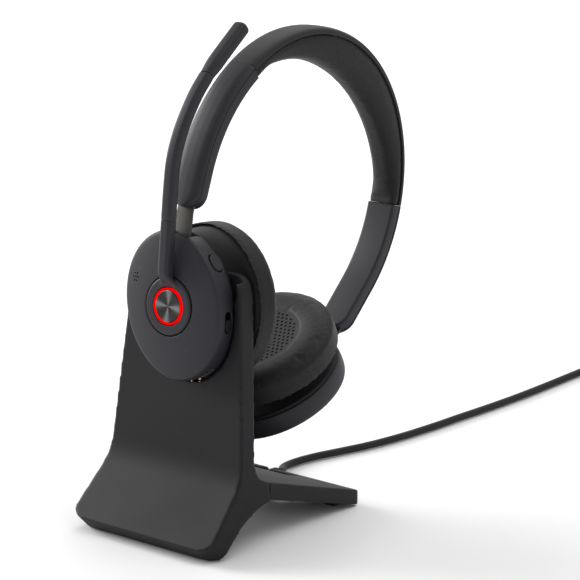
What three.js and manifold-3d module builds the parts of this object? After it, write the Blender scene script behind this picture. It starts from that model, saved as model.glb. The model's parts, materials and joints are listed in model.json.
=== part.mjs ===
// Office headset with a boom microphone, docked on its charging stand.
// Millimetres, +Z up, +X to the right seen from the front, +Y to the back.
// The origin is on the floor, under the middle of the headset and stand.

import * as THREE from 'three';
import { mergeVertices } from 'three/addons/utils/BufferGeometryUtils.js';
import Module from 'manifold-3d';

const wasm = await Module();
wasm.setup();

// ---------------------------------------------------------------- driving dimensions

const GAP = 0.3; // clearance between pieces that touch

const CENTRE_BACK = 78.3; // from the stand's front edge to the origin

const STAND = {
  frontHalf: 39.4, // half width at the front edge of the foot
  creaseHalf: 36.4, // half width where the foot folds up into the plate
  topHalf: 29.2, // half width at the top of the plate
  creaseZ: 29.1,
  topZ: 112.3,
  seamY: 34.8, // where the front shell ends and the rear leg starts
  tipY: 95.8,
  cornerRadius: 10,
};

const CUP_LEAN = 6; // degrees that the docked cup and the plate lean back
const CUP_CENTRE = [0, 14.2, 97.9]; // middle of the light ring's face
const PLATE_FRONT = 10.4; // depths behind the light ring's face
const PLATE_BACK = 18.4;
const RECESS_FLOOR = 14.6;

const CUP = {
  long: 31, // half length of the oval housing
  short: 25.2, // half width of the oval housing
  tilt: 20, // degrees that the long axis leans
  coverBack: 12.4,
  baseFront: 12.7,
  baseBack: 14.2,
  neckRadius: 8.2,
  pivotDepth: 21.5, // the speaker's swivel pin
  tiltDepth: 6.6, // the slider's tilt pin
  tiltHeight: 22,
};
const SPEAKER_RADIUS = 32.8;
const SPEAKER_YAW = -7; // degrees, as docked
const SPEAKER_TILT = 2.5; // degrees less lean than the housing, as docked

const FAR_CUP_CENTRE = [0, 86.7, 42.2];
const FAR_CUP_LEAN = 62;

const BAND = {
  centre: [0, 93.3, 130.9],
  tilt: 33, // degrees that the headband leans back
  halfSpan: 68.6, // ellipse of the outer surface
  rise: 72.6,
  halfWidth: 7.2,
  thickness: 7.5,
  linerFloor: 6.3, // depth of the floor of the channel for the slider
  padExtra: 10.6,
};
const NEAR_END = -26; // places along the band, in degrees of its ellipse
const NEAR_SPLIT = 27;
const FAR_SPLIT = 161;
const FAR_END = 212.2;
const BLADE_DEPTH = 3.85; // the slider's blade below the arm's outer surface
const BLADE_LENGTH = 15; // of the slider inside the arm
const STRAIGHT = 13.5; // the arms run straight beyond this angle below the horizontal

const CORD_RADIUS = 1.7;
const CORD_EXIT = [-12, 97.3, 4.6];
const COIL_CENTRE = [20.4, 350];
const COIL_MEAN = 20.4;
const COIL_COLUMNS = 5;
const COIL_LAYERS = 2;

// ---------------------------------------------------------------- materials

function plastic(color, roughness = 0.6, metalness = 0) {
  return new THREE.MeshStandardMaterial({ color, roughness, metalness });
}

const MATERIALS = {
  housing: () => plastic(0x46444b, 0.55),
  stand: () => plastic(0x3c3a3f, 0.6),
  dark: () => plastic(0x1c1c1e, 0.7),
  rubber: () => plastic(0x18181a, 0.9),
  leather: () => plastic(0x303034, 0.75),
  cloth: () => plastic(0x202022, 0.95),
  steel: () => plastic(0x8a8a86, 0.35, 1),
  slider: () => plastic(0x6c6b66, 0.4, 1),
  brass: () => plastic(0xc8a050, 0.35, 1),
  board: () => plastic(0x1f4a2c, 0.6),
  battery: () => plastic(0x9a9da3, 0.5),
  red: () => plastic(0xe00808, 0.4),
};

// ---------------------------------------------------------------- solids

/** A closed three.js geometry as a manifold solid. */
function solid(geometry) {
  const bare = geometry.clone();
  bare.deleteAttribute('normal');
  bare.deleteAttribute('uv');
  const merged = mergeVertices(bare, 1e-4);
  const index = merged.index.array;
  const kept = [];
  for (let i = 0; i < index.length; i += 3) {
    const [a, b, c] = [index[i], index[i + 1], index[i + 2]];
    if (a !== b && b !== c && a !== c) kept.push(a, b, c);
  }
  const mesh = new wasm.Mesh({
    numProp: 3,
    vertProperties: Float32Array.from(merged.attributes.position.array),
    triVerts: Uint32Array.from(kept),
  });
  return new wasm.Manifold(mesh);
}

/** A manifold solid back as a three.js geometry. */
function geometryOf(body) {
  const mesh = body.getMesh();
  const geometry = new THREE.BufferGeometry();
  geometry.setAttribute('position', new THREE.BufferAttribute(Float32Array.from(mesh.vertProperties), 3));
  geometry.setIndex(Array.from(mesh.triVerts));
  geometry.computeVertexNormals();
  return geometry;
}

/** Box between two corners. */
function box(x0, x1, y0, y1, z0, z1) {
  const geometry = new THREE.BoxGeometry(x1 - x0, y1 - y0, z1 - z0);
  return solid(geometry.translate((x0 + x1) / 2, (y0 + y1) / 2, (z0 + z1) / 2));
}

/** Round bar along X, Y or Z, from one end to the other. */
function bar(axis, radius, from, to, [a, b], sides = 24) {
  const geometry = new THREE.CylinderGeometry(radius, radius, to - from, sides);
  const middle = (from + to) / 2;
  if (axis === 'y') return solid(geometry.translate(a, middle, b));
  if (axis === 'x') return solid(geometry.rotateZ(-Math.PI / 2).translate(middle, a, b));
  return solid(geometry.rotateX(Math.PI / 2).translate(a, b, middle));
}

/** Solid turned about the Y axis from [radius, y] points, with y rising on the outside. */
function turned(points, sides = 32) {
  return solid(new THREE.LatheGeometry(points.map(([r, y]) => new THREE.Vector2(r, y)), sides));
}

/** Outline in (y, z) pulled along X, from -half to +half. */
function alongX(shape, half, curveSegments = 10) {
  const geometry = new THREE.ExtrudeGeometry(shape, { depth: 2 * half, bevelEnabled: false, curveSegments });
  const basis = new THREE.Matrix4().makeBasis(
    new THREE.Vector3(0, 1, 0), new THREE.Vector3(0, 0, 1), new THREE.Vector3(1, 0, 0),
  );
  return solid(geometry.applyMatrix4(basis).translate(-half, 0, 0));
}

/** Outline in (x, z) pulled along Y. */
function alongY(shape, from, to, curveSegments = 10) {
  const geometry = new THREE.ExtrudeGeometry(shape, { depth: to - from, bevelEnabled: false, curveSegments });
  const basis = new THREE.Matrix4().makeBasis(
    new THREE.Vector3(1, 0, 0), new THREE.Vector3(0, 0, 1), new THREE.Vector3(0, -1, 0),
  );
  return solid(geometry.applyMatrix4(basis).translate(0, to, 0));
}

/** Outline in (x, y) pulled along Z. */
function alongZ(shape, from, to, curveSegments = 8) {
  const geometry = new THREE.ExtrudeGeometry(shape, { depth: to - from, bevelEnabled: false, curveSegments });
  return solid(geometry.translate(0, 0, from));
}

/** Section swept along a curve. */
function swept(shape, curve, steps, curveSegments = 2) {
  const settings = { steps, extrudePath: curve, bevelEnabled: false, curveSegments };
  return solid(new THREE.ExtrudeGeometry(shape, settings));
}

function outline(points) {
  return new THREE.Shape(points.map(([a, b]) => new THREE.Vector2(a, b)));
}

/** Rectangle with round corners, centred on (a, b). */
function roundRect(halfA, halfB, radius, a = 0, b = 0) {
  const shape = new THREE.Shape();
  shape.moveTo(a - halfA + radius, b - halfB);
  shape.lineTo(a + halfA - radius, b - halfB);
  shape.absarc(a + halfA - radius, b - halfB + radius, radius, -Math.PI / 2, 0);
  shape.absarc(a + halfA - radius, b + halfB - radius, radius, 0, Math.PI / 2);
  shape.absarc(a - halfA + radius, b + halfB - radius, radius, Math.PI / 2, Math.PI);
  shape.absarc(a - halfA + radius, b - halfB + radius, radius, Math.PI, 1.5 * Math.PI);
  return shape;
}

function circle(radius) {
  const shape = new THREE.Shape();
  shape.absarc(0, 0, radius, 0, 2 * Math.PI);
  return shape;
}

/** One named piece. */
function piece(name, body, material) {
  const mesh = new THREE.Mesh(geometryOf(body), MATERIALS[material]());
  mesh.name = name;
  return mesh;
}

function radians(degrees) {
  return THREE.MathUtils.degToRad(degrees);
}

// ---------------------------------------------------------------- stand

/** The front shell seen from the side: the foot slopes up and folds into the plate. */
function frontShellSide() {
  const shape = new THREE.Shape();
  shape.moveTo(0, 0.5);
  shape.lineTo(4, 0.5);
  shape.quadraticCurveTo(17.5, 16, STAND.seamY, 17.7);
  shape.lineTo(STAND.seamY, 25.5);
  shape.quadraticCurveTo(26.3, 28.3, 26.9, 37);
  shape.lineTo(34.1, 111.5);
  shape.lineTo(26.1, STAND.topZ);
  shape.lineTo(18.6, 36.6);
  shape.quadraticCurveTo(17.8, STAND.creaseZ, 12.4, 23.7);
  shape.lineTo(-5.1, 5.9);
  return shape;
}

/** The stand seen from the front: sides tapering to a top with round corners. */
function frontShellFace() {
  const { frontHalf, creaseHalf, topHalf, creaseZ, topZ } = STAND;
  const shape = new THREE.Shape();
  shape.moveTo(-frontHalf, 0);
  shape.lineTo(frontHalf, 0);
  shape.lineTo(creaseHalf, creaseZ);
  shape.lineTo(topHalf + 0.9, topZ - 11);
  shape.quadraticCurveTo(topHalf, topZ + 0.5, topHalf - 11, topZ + 0.5);
  shape.lineTo(11 - topHalf, topZ + 0.5);
  shape.quadraticCurveTo(-topHalf, topZ + 0.5, -topHalf - 0.9, topZ - 11);
  shape.lineTo(-creaseHalf, creaseZ);
  return shape;
}

/** Takes the front corners off the foot, square to its slope. */
function footCorners() {
  const { frontHalf, cornerRadius } = STAND;
  const shape = new THREE.Shape();
  shape.moveTo(frontHalf + 2, -2);
  shape.lineTo(frontHalf + 2, cornerRadius);
  shape.lineTo(frontHalf - 0.4, cornerRadius);
  shape.quadraticCurveTo(frontHalf, 0, frontHalf - cornerRadius, 0);
  shape.lineTo(frontHalf - cornerRadius, -2);
  const geometry = new THREE.ExtrudeGeometry(shape, { depth: 30, bevelEnabled: false, curveSegments: 10 });
  const across = new THREE.Vector3(1, 0, 0);
  const slope = new THREE.Vector3(0, 0.7, 0.714).normalize();
  const normal = new THREE.Vector3().crossVectors(across, slope);
  geometry.translate(0, 0, -15).applyMatrix4(new THREE.Matrix4().makeBasis(across, slope, normal));
  const corner = solid(geometry.translate(0, -2.6, 3));
  return corner.add(corner.mirror([1, 0, 0]));
}

/** Oval of the housing, larger by a margin. */
function ovalShape(margin) {
  const shape = new THREE.Shape();
  const turn = radians(CUP.tilt);
  shape.absellipse(0, 0, CUP.short + margin, CUP.long + margin, 0, 2 * Math.PI, false, turn);
  return shape;
}

/** Moves a solid made in the docked cup's frame into the stand's frame. */
function inCupFrame(body) {
  return body.rotate([-CUP_LEAN, 0, 0]).translate(CUP_CENTRE);
}

function standFrontShell() {
  const side = alongX(frontShellSide(), 41, 12);
  const face = alongY(frontShellFace(), -10, 60, 12);
  const recess = alongY(ovalShape(0.9), PLATE_FRONT - 8, RECESS_FLOOR, 36)
    .add(alongY(roundRect(27, 14, 6, 0, 15), PLATE_FRONT - 8, RECESS_FLOOR));
  const notch = bar('y', 10.3, 5, 30, [0, 0], 32).add(box(-10.3, 10.3, 5, 30, 0, 30));
  const contacts = box(2.7, 13.3, 11.2, 15.8, -37.3, -29.8);
  const cut = inCupFrame(recess.add(notch).add(contacts));
  const padPocket = box(-28.3, 28.3, 0.7, 3.8, -1, 1.2);
  return side.intersect(face).subtract(footCorners()).subtract(cut).subtract(padPocket);
}

function rearLegSide() {
  const { seamY, tipY } = STAND;
  return outline([[seamY + GAP, 17.9], [tipY - 2, 0.6], [tipY - 0.8, 0.6], [tipY, 1.6], [tipY, 6.2],
    [tipY - 1, 7], [seamY + GAP, 25.4]]);
}

function rearLegPlan() {
  const { seamY, tipY } = STAND;
  const half = 36.5;
  const cornerRadius = 3;
  const shape = new THREE.Shape();
  shape.moveTo(-half, seamY);
  shape.lineTo(half, seamY);
  shape.lineTo(half - 1, tipY - cornerRadius);
  shape.quadraticCurveTo(half - 1, tipY, half - cornerRadius - 1, tipY);
  shape.lineTo(cornerRadius + 1 - half, tipY);
  shape.quadraticCurveTo(1 - half, tipY, 1 - half, tipY - cornerRadius);
  return shape;
}

function standRearLeg() {
  const body = alongX(rearLegSide(), 38).intersect(alongZ(rearLegPlan(), -1, 30));
  const slot = box(-19, 6, 81.4, 90.4, 3, 30).add(box(-15.2, -8.8, 82.9, 102, 1.4, 30));
  const hollow = legSlab(27, 42, 74, -3, 4.4);
  const coverSeat = legSlab(29, 40, 76, -3, 1.6);
  const padPocket = box(-28.3, 28.3, 86.7, 92.3, -1, 3);
  const pads = padPocket.subtract(box(-16.2, -7.8, 80, 97, -2, 4));
  return body.subtract(slot).subtract(hollow).subtract(coverSeat).subtract(pads);
}

/** Slab along the leg's sloping underside, between two heights above it. */
function legSlab(halfX, fromY, toY, low, high) {
  const slope = -17.3 / (STAND.tipY - 2 - STAND.seamY - GAP);
  const under = (y) => 17.9 + slope * (y - STAND.seamY - GAP);
  const shape = outline([[fromY, under(fromY) + low], [toY, under(toY) + low], [toY, under(toY) + high],
    [fromY, under(fromY) + high]]);
  return alongX(shape, halfX);
}

function notchLiner() {
  const front = RECESS_FLOOR + GAP;
  const back = PLATE_BACK - GAP;
  const outer = bar('y', 10, front, back, [0, 0], 32).add(box(-10, 10, front, back, 0, 10.5));
  const inner = bar('y', 8.9, 5, 30, [0, 0], 32).add(box(-8.9, 8.9, 5, 30, 0, 30));
  return outer.subtract(inner);
}

function buildStand() {
  const group = new THREE.Group();
  group.add(piece('stand_front_shell', standFrontShell(), 'stand'));
  group.add(piece('stand_rear_leg', standRearLeg(), 'stand'));
  group.add(piece('leg_base_plate', legSlab(28.6, 40.4, 75.6, 0.2, 1.3), 'dark'));
  group.add(piece('stand_circuit_board', legSlab(20, 46, 72, 2.2, 3.2), 'board'));
  group.add(piece('foot_pad_front', box(-28, 28, 1, 3.5, 0, 0.9), 'rubber'));
  group.add(piece('foot_pad_rear_left', box(-28, -16.5, 87, 92, 0, 2.7), 'rubber'));
  group.add(piece('foot_pad_rear_right', box(-7.5, 28, 87, 92, 0, 2.7), 'rubber'));

  const docked = new THREE.Group();
  docked.position.fromArray(CUP_CENTRE);
  docked.rotation.x = -radians(CUP_LEAN);
  docked.add(piece('notch_liner', notchLiner(), 'rubber'));
  const block = box(3, 13, 11.5, 15.5, -37, -31.9);
  docked.add(piece('contact_block', block, 'dark'));
  for (const [name, x] of [['contact_pin_left', 5.5], ['contact_pin_right', 10]]) {
    docked.add(piece(name, bar('z', 0.6, -31.6, x < 8 ? -30.9 : -30.3, [x, 12], 12), 'brass'));
  }
  group.add(docked);

  const gland = turned([[0, 0], [2.9, 0], [2.9, 5.5], [2.3, 13.6], [0, 13.6]], 20);
  const mesh = piece('cable_gland', gland, 'rubber');
  mesh.position.set(CORD_EXIT[0], CORD_EXIT[1] - GAP - 13.6, CORD_EXIT[2]);
  group.add(mesh);
  return group;
}

// ---------------------------------------------------------------- cord

/** The cord's route on the floor, from the gland to the coil. */
const CORD_ROUTE = [
  CORD_EXIT, [-12, 98.8, 4.5], [-12.9, 101.2, 4], [-15.2, 104.4, 3.3], [-18.2, 108.2, 2.5],
  [-20.2, 113.6, 2], [-20.7, 120, 1.9], [-19.4, 130, 1.9], [-15.6, 144, 1.9], [-11.3, 160, 1.9],
  [-8.2, 179, 1.9], [-6.5, 200, 1.9], [-5.8, 222, 1.9], [-4.9, 245, 1.9], [-4.6, 269, 1.9],
  [-5.4, 296, 1.9], [-6.5, 322, 1.9], [-6.8, 335.4, 1.9],
];

/** From the coil to the plug's strain relief. */
const TAIL_ROUTE = [[47.6, 335.3, 4], [47.6, 329, 3.1], [47.6, 323, 2.5], [47.6, 317, 2.4]];

function cordTube(route, steps) {
  const curve = new THREE.CatmullRomCurve3(route.map((point) => new THREE.Vector3(...point)));
  const section = new THREE.Shape();
  const sides = 8;
  for (let i = 0; i < sides; i += 1) {
    const angle = (2 * Math.PI * i) / sides;
    const [a, b] = [CORD_RADIUS * Math.cos(angle), CORD_RADIUS * Math.sin(angle)];
    if (i === 0) section.moveTo(a, b);
    else section.lineTo(a, b);
  }
  return swept(section, curve, steps);
}

function buildCord() {
  const group = new THREE.Group();
  group.add(piece('cord_tube', cordTube(CORD_ROUTE, 44), 'rubber'));
  group.add(piece('cord_tail', cordTube(TAIL_ROUTE, 5), 'rubber'));

  const half = COIL_COLUMNS * CORD_RADIUS;
  const [inner, outer] = [COIL_MEAN - half - 0.1, COIL_MEAN + half + 0.1];
  const height = 2 * CORD_RADIUS * COIL_LAYERS + 0.1;
  const section = [[inner, 0.8], [inner + 0.8, 0.1], [outer - 0.8, 0.1], [outer, 0.8], [outer, height - 0.8],
    [outer - 0.8, height], [inner + 0.8, height], [inner, height - 0.8], [inner, 0.8]];
  const coil = piece('cord_coil', turned(section, 32), 'rubber');
  coil.rotation.x = Math.PI / 2;
  coil.position.set(COIL_CENTRE[0], COIL_CENTRE[1], 0);
  group.add(coil);

  const tie = box(-3, 3, inner - 1.7, outer + 1.2, 0.05, height + 1.2)
    .subtract(box(-4, 4, inner - 0.8, outer + GAP, -1, height + GAP));
  const tieMesh = piece('cord_tie', tie, 'cloth');
  tieMesh.position.set(COIL_CENTRE[0], COIL_CENTRE[1], 0);
  group.add(tieMesh);

  const plug = new THREE.Group();
  plug.position.set(TAIL_ROUTE[3][0], TAIL_ROUTE[3][1] - GAP, 4.2);
  const relief = turned([[0, -9], [2.3, -9], [1.9, 0], [0, 0]], 16).translate([0, 0, -1.8]);
  const housing = alongY(roundRect(8, 4.05, 2), -32, -9 - GAP, 3);
  const shell = box(-6, 6, -44.3, -32 - GAP, -2.25, 2.25).subtract(box(-5.6, 5.6, -50, -33.5, -1.85, 1.85));
  const tongue = box(-5.2, 5.2, -43.6, -33.8, 0.1, 1.5);
  plug.add(piece('plug_strain_relief', relief, 'rubber'));
  plug.add(piece('plug_body', housing, 'dark'));
  plug.add(piece('plug_shell', shell, 'steel'));
  plug.add(piece('plug_tongue', tongue, 'dark'));
  group.add(plug);
  return group;
}

// ---------------------------------------------------------------- ear cups

/** Turned solid stretched to the housing's oval: radius 1 in the profile is the oval itself. */
function ovalTurned(points, sides = 44) {
  const geometry = new THREE.LatheGeometry(points.map(([r, y]) => new THREE.Vector2(r, y)), sides);
  geometry.scale(CUP.short, 1, CUP.long);
  return solid(geometry.rotateY(-radians(CUP.tilt)));
}

function housingCover() {
  return ovalTurned([[0, 0.4], [0.35, 0.55], [0.6, 1.1], [0.8, 2.1], [0.93, 3.35], [0.985, 4.3], [1, 5.4],
    [1.005, 8], [0.99, CUP.coverBack], [0.94, CUP.coverBack], [0.94, 6.6], [0.9, 5], [0.78, 3.9],
    [0.5, 2.7], [0, 2.3]]);
}

/** Slot in the rim that the slider's strip goes through. */
function sliderSlot() {
  return box(-4.8, 4.8, 3.8, 20, 25, 40);
}

function housingBase() {
  const { baseFront, baseBack } = CUP;
  const plate = ovalTurned([[0, baseFront], [0.985, baseFront], [0.96, baseBack], [0, baseBack]]);
  const neck = bar('y', CUP.neckRadius, baseFront, 18.7, [0, 0], 32);
  const yoke = box(-3, 3, 18, CUP.pivotDepth, -4, 4).add(bar('z', 2.5, -4, 4, [0, CUP.pivotDepth], 24));
  const pinHole = bar('z', 1.5, -10, 10, [0, CUP.pivotDepth], 16);
  const ears = box(-6.6, -4.9, 4.9, baseFront + 0.5, 19.9, 24.1)
    .add(box(4.9, 6.4, 4.9, baseFront + 0.5, 19.9, 23.6));
  const tiltHole = bar('x', 1.3, -8, 8, [CUP.tiltDepth, CUP.tiltHeight], 16);
  return plate.add(neck).add(yoke).add(ears).subtract(pinHole).subtract(tiltHole);
}

/** Speaker shell, driver, baffle, cushion and cloth, in a frame whose origin is the swivel pin. */
function buildSpeaker(side) {
  const group = new THREE.Group();
  const R = SPEAKER_RADIUS;
  const dish = turned([[0, 1.6], [R - 6, 1.6], [R - 2.4, 2.8], [R - 1.3, 4.4], [R - 1.3, 8.6], [R - 3, 8.6],
    [R - 3, 5], [R - 6.4, 3.4], [0, 3.4]], 32);
  const lugs = box(-3.4, 3.4, -1.9, 2.4, 4.4, 7).add(box(-3.4, 3.4, -1.9, 2.4, -7, -4.4));
  const pocket = box(-6, 6, -5, 2.8, -4.4, 4.4);
  const pinHole = bar('z', 1.65, -12, 12, [0, 0], 16);
  const shell = dish.add(lugs).subtract(pocket).subtract(pinHole);
  group.add(piece(`${side}_speaker_shell`, shell, 'dark'));

  const baffle = turned([[17.8, 6.9], [R - 3.3, 6.9], [R - 3.3, 8.6], [18.9, 8.6], [18.9, 10.3], [17.8, 10.3],
    [17.8, 6.9]], 32);
  group.add(piece(`${side}_baffle`, baffle, 'dark'));
  const driver = turned([[0, 5.6], [5, 4.4], [12, 4.4], [13.6, 8], [17.4, 8.6], [17.4, 9.9], [14.5, 9.9],
    [8, 8], [4, 8.8], [0, 9.3]], 32);
  group.add(piece(`${side}_speaker_driver`, driver, 'steel'));
  const cushion = turned([[19.3, 8.9], [R - 1, 8.9], [R - 1, 2.6], [R - 0.4, 2.3], [R, 3.2], [R, 11.4],
    [R - 1, 13.3], [R - 3.4, 14.7], [R - 7, 15.3], [R - 11, 15], [17, 14.1], [14.6, 13.4], [14.6, 12.2],
    [15.4, 10.8], [19.3, 10.8], [19.3, 8.9]], 32);
  group.add(piece(`${side}_ear_cushion`, cushion, 'leather'));
  const cloth = turned([[0, 11.9], [14.2, 12.3], [14.2, 13.1], [0, 12.7]], 32);
  group.add(piece(`${side}_speaker_cloth`, cloth, 'cloth'));
  return group;
}

/** What both cups share, in a frame whose origin is the outer face's middle and +Y goes inward. */
function buildCup(side, cover) {
  const group = new THREE.Group();
  group.add(piece(`${side}_housing_cover`, cover.subtract(sliderSlot()), 'housing'));
  group.add(piece(`${side}_housing_base`, housingBase(), 'dark'));
  const pivot = [0, CUP.pivotDepth];
  group.add(piece(`${side}_swivel_pin`, bar('z', 1.2, -6.9, 6.9, pivot, 14), 'steel'));
  const tilt = [CUP.tiltDepth, CUP.tiltHeight];
  group.add(piece(`${side}_tilt_pin`, bar('x', 1, -6.6, 6.4, tilt, 14), 'steel'));
  const speaker = buildSpeaker(side);
  speaker.position.set(0, CUP.pivotDepth, 0);
  group.add(speaker);
  return { group, speaker };
}

/** The round opening that the boom's hub turns in. */
function hubOpening() {
  return bar('y', 12.4, -5, 3.4, [0, 0], 32).add(bar('y', 9.4, 2, 6, [0, 0], 32));
}

/** Moves a solid that faces +X onto the oval rim, at an angle measured from its long axis. */
function onRim(body, degrees) {
  const [angle, turn] = [radians(degrees), radians(CUP.tilt)];
  const [long, short] = [CUP.long * Math.cos(angle), CUP.short * Math.sin(angle)];
  const x = short * Math.cos(turn) - long * Math.sin(turn);
  const z = short * Math.sin(turn) + long * Math.cos(turn);
  const [a, b] = [Math.cos(angle) / CUP.long, Math.sin(angle) / CUP.short];
  const facing = Math.atan2(b * Math.sin(turn) + a * Math.cos(turn), b * Math.cos(turn) - a * Math.sin(turn));
  return body.rotate([0, -THREE.MathUtils.radToDeg(facing), 0]).translate([x, 0, z]);
}

const PILL_AT = 65.8; // places on the rim
const SWITCH_AT = 112.7;
const PORT_AT = 168;

function nearCover() {
  const pill = onRim(alongX(roundRect(3.2, 4, 2.9, 8.6, 0), 3, 4), PILL_AT);
  const slot = onRim(alongX(roundRect(1.9, 4.4, 1.8, 8.6, 0), 3, 3), SWITCH_AT);
  const port = onRim(box(-5, 4, 6.9, 10.7, -4.6, 4.6), PORT_AT);
  const left = bar('z', 0.95, -40, -29.1, [5.5, 11.6], 16);
  const right = bar('z', 0.95, -40, -28.6, [10, 11.6], 16);
  const holes = left.add(right);
  return housingCover().subtract(hubOpening()).subtract(pill).subtract(slot).subtract(holes).subtract(port);
}

function hubDisc() {
  return turned([[4.5, 1.7], [8, 1.7], [8, 0.3], [11.6, 0.3], [12, 0.8], [12, 2.6], [6, 2.6], [6, 8.5],
    [4.5, 8.5], [4.5, 1.7]], 36);
}

/** Centre line of the boom, in depth and height. */
const BOOM_LINE = [[-2.3, 8.4], [-2.3, 35.4], [-2.3, 35.8], [-2.2, 48], [-1.6, 59], [0.7, 68.5],
  [4.4, 77], [9.6, 86], [15.4, 93.4], [21.8, 99.9], [28.6, 106.4], [35.6, 113]];

function boomPiece(shape, first, last, steps) {
  const points = BOOM_LINE.slice(first, last).map(([d, u]) => new THREE.Vector3(0, d, u));
  const curve = points.length === 2 ? new THREE.LineCurve3(...points) : new THREE.CatmullRomCurve3(points);
  return swept(shape, curve, steps);
}

function buildBoom() {
  const group = new THREE.Group();
  const section = roundRect(2.8, 2.5, 1.6);
  const rootBar = boomPiece(roundRect(2.5, 2.8, 1.6), 0, 2, 1);
  const root = hubDisc().add(rootBar).add(box(-2.8, 2.8, -1, 1.4, 8.4, 11.4));
  group.add(piece('boom_hub', root, 'housing'));
  group.add(piece('boom_arm', boomPiece(section, 2, 9, 14), 'housing'));
  const tip = BOOM_LINE.slice(8, 12).map(([d, u]) => new THREE.Vector3(0, d, u));
  const direction = tip[1].clone().sub(tip[0]).normalize();
  tip[0].addScaledVector(direction, GAP);
  const wide = roundRect(3.4, 3, 2.4);
  group.add(piece('boom_tip', swept(wide, new THREE.CatmullRomCurve3(tip), 6), 'housing'));
  const ring = turned([[6.25, 0], [7.7, 0], [7.7, 1.4], [6.25, 1.4], [6.25, 0]]);
  group.add(piece('light_ring', ring, 'red'));
  const button = turned([[0, 0.45], [4, 0.3], [5.9, 0.1], [5.9, 1.1], [3, 1.1], [3, 3], [0, 3]]);
  group.add(piece('call_button', button, 'steel'));
  return group;
}

function buildNearCup() {
  const { group, speaker } = buildCup('near', nearCover());
  speaker.rotation.set(radians(SPEAKER_TILT), 0, radians(SPEAKER_YAW), 'ZXY');
  group.add(buildBoom());
  const bearing = turned([[6.35, 3.2], [9.1, 3.2], [9.1, 6], [6.35, 6], [6.35, 3.2]], 32);
  group.add(piece('hub_bearing', bearing, 'dark'));
  group.add(piece('battery', box(-11, 9, 7, 12, -21.5, -11), 'battery'));
  group.add(piece('main_board', box(-16, 9, 9.6, 10.8, 10.5, 18.5), 'board'));
  group.add(piece('charge_contact_left', bar('z', 0.65, -30.1, -29.4, [5.5, 11.6], 16), 'brass'));
  group.add(piece('charge_contact_right', bar('z', 0.65, -29.6, -28.9, [10, 11.6], 16), 'brass'));
  const pill = alongX(roundRect(2.9, 3.7, 2.6, 8.6, 0), 1.2, 4).translate([-0.7, 0, 0]);
  group.add(piece('pill_button', onRim(pill, PILL_AT), 'housing'));
  const knob = alongX(roundRect(1.6, 2.6, 1.5, 8.6, -1.3), 1, 3).translate([-0.7, 0, 0]);
  group.add(piece('power_switch', onRim(knob, SWITCH_AT), 'dark'));
  const socket = box(-6, -0.8, 7.2, 10.4, -4.3, 4.3).subtract(box(-5.6, 0, 7.5, 10.1, -4, 4));
  group.add(piece('usb_socket', onRim(socket, PORT_AT), 'steel'));
  group.position.fromArray(CUP_CENTRE);
  group.rotation.x = -radians(CUP_LEAN);
  return group;
}

function buildFarCup() {
  const { group } = buildCup('far', housingCover());
  group.position.fromArray(FAR_CUP_CENTRE);
  group.quaternion.setFromAxisAngle(new THREE.Vector3(1, 0, 0), radians(180 - FAR_CUP_LEAN));
  group.quaternion.multiply(new THREE.Quaternion().setFromAxisAngle(new THREE.Vector3(0, 1, 0), Math.PI));
  return group;
}

// ---------------------------------------------------------------- headband

/** Outer surface line of the headband: an ellipse that runs straight at both ends. */
class BandLine extends THREE.Curve {
  constructor(from, to) {
    super();
    this.from = from;
    this.to = to;
  }

  getPoint(t) {
    const degrees = this.from + (this.to - this.from) * t;
    const near = -STRAIGHT;
    const far = 180 + STRAIGHT;
    const angle = radians(Math.min(Math.max(degrees, near), far));
    const rest = radians(degrees) - angle;
    const y = -BAND.halfSpan * Math.cos(angle) + BAND.halfSpan * Math.sin(angle) * rest;
    const z = BAND.rise * Math.sin(angle) + BAND.rise * Math.cos(angle) * rest;
    return new THREE.Vector3(0, y, z);
  }
}

/** Point on the band at a depth below its outer surface. */
function bandPoint(degrees, depth) {
  const line = new BandLine(degrees - 0.5, degrees + 0.5);
  const [before, here, after] = [line.getPoint(0), line.getPoint(0.5), line.getPoint(1)];
  const along = after.sub(before).normalize();
  return [here.y + along.z * depth, here.z - along.y * depth];
}

/** Closed outline between two depths below the outer surface. */
function bandOutline(from, to, outerDepth, innerDepth, steps) {
  const points = [];
  for (let i = 0; i <= steps; i += 1) {
    const degrees = from + ((to - from) * i) / steps;
    points.push(bandPoint(degrees, outerDepth(degrees)));
  }
  for (let i = steps; i >= 0; i -= 1) {
    const degrees = from + ((to - from) * i) / steps;
    points.push(bandPoint(degrees, innerDepth(degrees)));
  }
  return outline(points);
}

/** Crowned shell section with two flanges; x across the band, y up from the outer surface. */
function shellSection(wall, flange) {
  const w = BAND.halfWidth;
  return outline([[-w, -flange], [-w, -1.6], [-w + 0.7, -0.7], [-w / 2, -0.15], [0, 0], [w / 2, -0.15],
    [w - 0.7, -0.7], [w, -1.6], [w, -flange], [w - 1.6, -flange], [w - 1.6, -wall], [1.6 - w, -wall],
    [1.6 - w, -flange]]);
}

/** Channel that the slider and the spring strip lie in. */
function linerSection() {
  const w = BAND.halfWidth;
  const [floor, back] = [-BAND.linerFloor, -BAND.thickness];
  return outline([[-w, -2.7], [1.6 - w, -2.7], [1.6 - w, floor], [w - 1.6, floor], [w - 1.6, -2.7], [w, -2.7],
    [w, back + 0.6], [w - 0.6, back], [0.6 - w, back], [-w, back + 0.6]]);
}

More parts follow.
